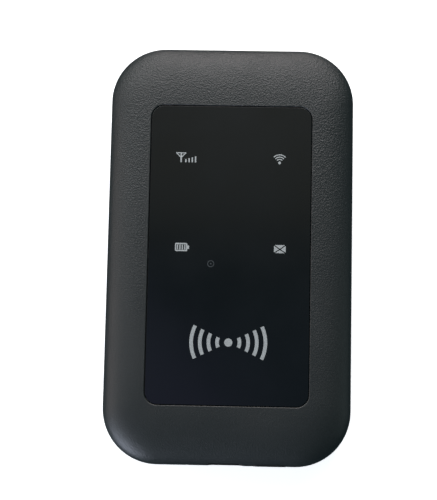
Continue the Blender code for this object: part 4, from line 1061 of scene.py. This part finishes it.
battery_middle = (battery_low + battery_high) / 2
battery_width = battery_high.x - battery_low.x
battery_length = battery_high.y - battery_low.y
battery_height = battery_high.z - battery_low.z
cap_length = 5 * MM
cap_line = battery_low.y + cap_length
cell_corner = 1.5 * MM
groove_width = 0.2 * MM
groove_depth = 0.08 * MM
cell = slab("battery_cell", battery_width, battery_length, cell_corner, battery_middle, battery_low.z,
            battery_height, segments=8)
soften(cell, 0.5 * MM, 4, 60)
close_up(cell, 40)
terminal_low, terminal_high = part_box("battery_terminal_1")
other_low, other_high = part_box("battery_terminal_3")
pocket_fit = 0.3 * MM
pocket_low = Vector((min(terminal_low.x, other_low.x) - pocket_fit, 0, terminal_low.z - pocket_fit))
pocket_high = Vector((max(terminal_high.x, other_high.x) + pocket_fit, 0, terminal_high.z + pocket_fit))
cut(cell, bar("pocket", (pocket_low.x, battery_low.y - 1 * MM, pocket_low.z),
              (pocket_high.x, battery_low.y + 0.6 * MM, pocket_high.z)))
groove = slab("groove", battery_width + 2 * MM, groove_width, 0.01 * MM, (0, cap_line),
              battery_low.z - 1 * MM, battery_height + 2 * MM, segments=1)
core_keep = slab("core_keep", battery_width - 2 * groove_depth, battery_length, 1.4 * MM,
                 battery_middle, battery_low.z + groove_depth, battery_height - 2 * groove_depth,
                 segments=8)
cut(groove, core_keep)
cut(cell, groove)
close_up(cell, 40)

# Shrink film: dark PET, satin, with a fine crackle of wrinkles about 1 mm apart.
shrink_film, shader = start_material("dark_pet_shrink_film")
place = add_node(shrink_film, "ShaderNodeTexCoord")
wrinkles = add_node(shrink_film, "ShaderNodeTexNoise", [], [("Scale", 700.0), ("Detail", 4.0)],
                    [("Vector", place, "Object")])
film_colour = add_node(shrink_film, "ShaderNodeValToRGB", [], [], [("Fac", wrinkles, "Fac")],
                       [(0.3, "272b33"), (0.7, "333842")])
film_shine = add_node(shrink_film, "ShaderNodeMapRange", [], [("To Min", 0.25), ("To Max", 0.5)],
                      [("Value", wrinkles, "Fac")])
film_bump = add_node(shrink_film, "ShaderNodeBump", [], [("Strength", 0.25), ("Distance", 0.00004)],
                     [("Height", wrinkles, "Fac")])
feed(shrink_film, shader, ("Base Color", film_colour, "Color"), ("Roughness", film_shine, "Result"),
     ("Normal", film_bump, "Normal"))
finish(cell, shrink_film, "battery", "battery_wrap", "battery_pack")

for number in (1, 2, 3):
    low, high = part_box(f"battery_terminal_{number}")
    plate = bar(f"terminal_plate_{number}", low, high)
    soften(plate, 0.08 * MM, 3)
    close_up(plate, 40)
    finish(plate, gold_plate, "battery", "gold_contact", f"battery_terminal_{number}")


# ---------------------------------------------------------------- Labels
# Two white polyester labels, one under the battery and one on the floor of its bay, printed with
# nothing but the grey rules of an empty form.

label_film, shader = start_material("white_polyester_label")
place = add_node(label_film, "ShaderNodeTexCoord")
rules = add_node(label_film, "ShaderNodeTexBrick", [("offset", 0.0)],
                 [("Scale", 1.0), ("Mortar Size", 0.00012), ("Brick Width", 0.016), ("Row Height", 0.0055),
                  ("Color1", linear("e7e7e4")), ("Color2", linear("e2e2df")), ("Mortar", linear("8b8f92"))],
                 [("Vector", place, "Object")])
fibres = add_node(label_film, "ShaderNodeTexNoise", [], [("Scale", 2500.0), ("Detail", 3.0)],
                  [("Vector", place, "Object")])
label_gloss = add_node(label_film, "ShaderNodeMapRange", [], [("To Min", 0.5), ("To Max", 0.75)],
                       [("Value", fibres, "Fac")])
label_bump = add_node(label_film, "ShaderNodeBump", [], [("Strength", 0.15), ("Distance", 0.00002)],
                      [("Height", fibres, "Fac")])
feed(label_film, shader, ("Base Color", rules, "Color"), ("Roughness", label_gloss, "Result"),
     ("Normal", label_bump, "Normal"))
for label, body in (("battery_label", "battery"), ("rating_label", "housing")):
    low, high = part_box(label)
    sheet = slab(f"{label}_sheet", high.x - low.x, high.y - low.y, 1.5 * MM, (low + high) / 2, low.z,
                 high.z - low.z, segments=6)
    close_up(sheet)
    finish(sheet, label_film, body, "white_label", label)


# ---------------------------------------------------------------- Back cover
# The lower half of the case: a shallow tray in the same spark-eroded ABS. Eight snap tabs hold
# it in the housing, a rebate takes the housing's lip, and a nail notch at the far end opens it.

cover_low, cover_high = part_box("back_cover")
cover_top = seam_height - 0.3 * MM
back_edge_width = 2.6 * MM
back_edge_height = 3.2 * MM
cover_wall = 1.3 * MM
cover_floor = 0.9 * MM
rim_wall = 0.6 * MM
rebate_bottom = cover_top - 1.1 * MM
edge_top = cover_low.z + back_edge_height
cover = slab("back_shell", case_width, case_length, corner_radius, case_centre, edge_top,
             cover_top - edge_top)
select_level(cover, edge_top)
swell(back_edge_width, back_edge_height, 2, 12)
close_up(cover)
tray = slab("tray", case_width - 2 * cover_wall, case_length - 2 * cover_wall, corner_radius - cover_wall,
            case_centre, edge_top, rebate_bottom + 0.5 * MM - edge_top)
select_level(tray, edge_top)
swell(back_edge_width, back_edge_height - cover_floor, 2, 6)
close_up(tray)
cut(cover, tray)
rebate = slab("rebate", case_width - 2 * rim_wall, case_length - 2 * rim_wall, corner_radius - rim_wall,
              case_centre, rebate_bottom, 3 * MM)
cut(cover, rebate)

tab_root = 1.2 * MM
tab_outer = 1.9 * MM
tab_inner = tab_outer + 0.8 * MM
tab_top = cover_top + 1.6 * MM
bead = 0.15 * MM
bead_z = tab_top - 0.5 * MM
for axis, side, along in tab_places:
    join(cover, edge_bar("root", axis, side, (cover_wall / 2, tab_inner), along, tab_width,
                         rebate_bottom - tab_root, rebate_bottom))
    join(cover, edge_bar("tab", axis, side, (tab_outer, tab_inner), along, tab_width,
                         rebate_bottom - tab_root / 2, tab_top))
    join(cover, rod("bead", bead, edge_point(axis, side, tab_outer, along - tab_width / 2 + bead, bead_z),
                    edge_point(axis, side, tab_outer, along + tab_width / 2 - bead, bead_z), 16))
notch_half = 4.5 * MM
notch_depth = 0.8 * MM
cut(cover, bar("nail_notch", (-notch_half, case_high.y - notch_depth, cover_top - 0.9 * MM),
               (notch_half, case_high.y + notch_depth, cover_top + 1 * MM)))
mark_radius = 1.5 * MM
mark_low = cover_floor - 0.06 * MM
for x in (-20 * MM, 20 * MM):
    for y in (-36 * MM, -12 * MM, 12 * MM, 36 * MM):
        cut(cover, rod("ejector_mark", mark_radius, (x, y, mark_low), (x, y, cover_floor + 1 * MM), 24))
round_off(cover, 0.1 * MM)
finish(cover, textured_abs, "cover", "textured_plastic", "back_cover")
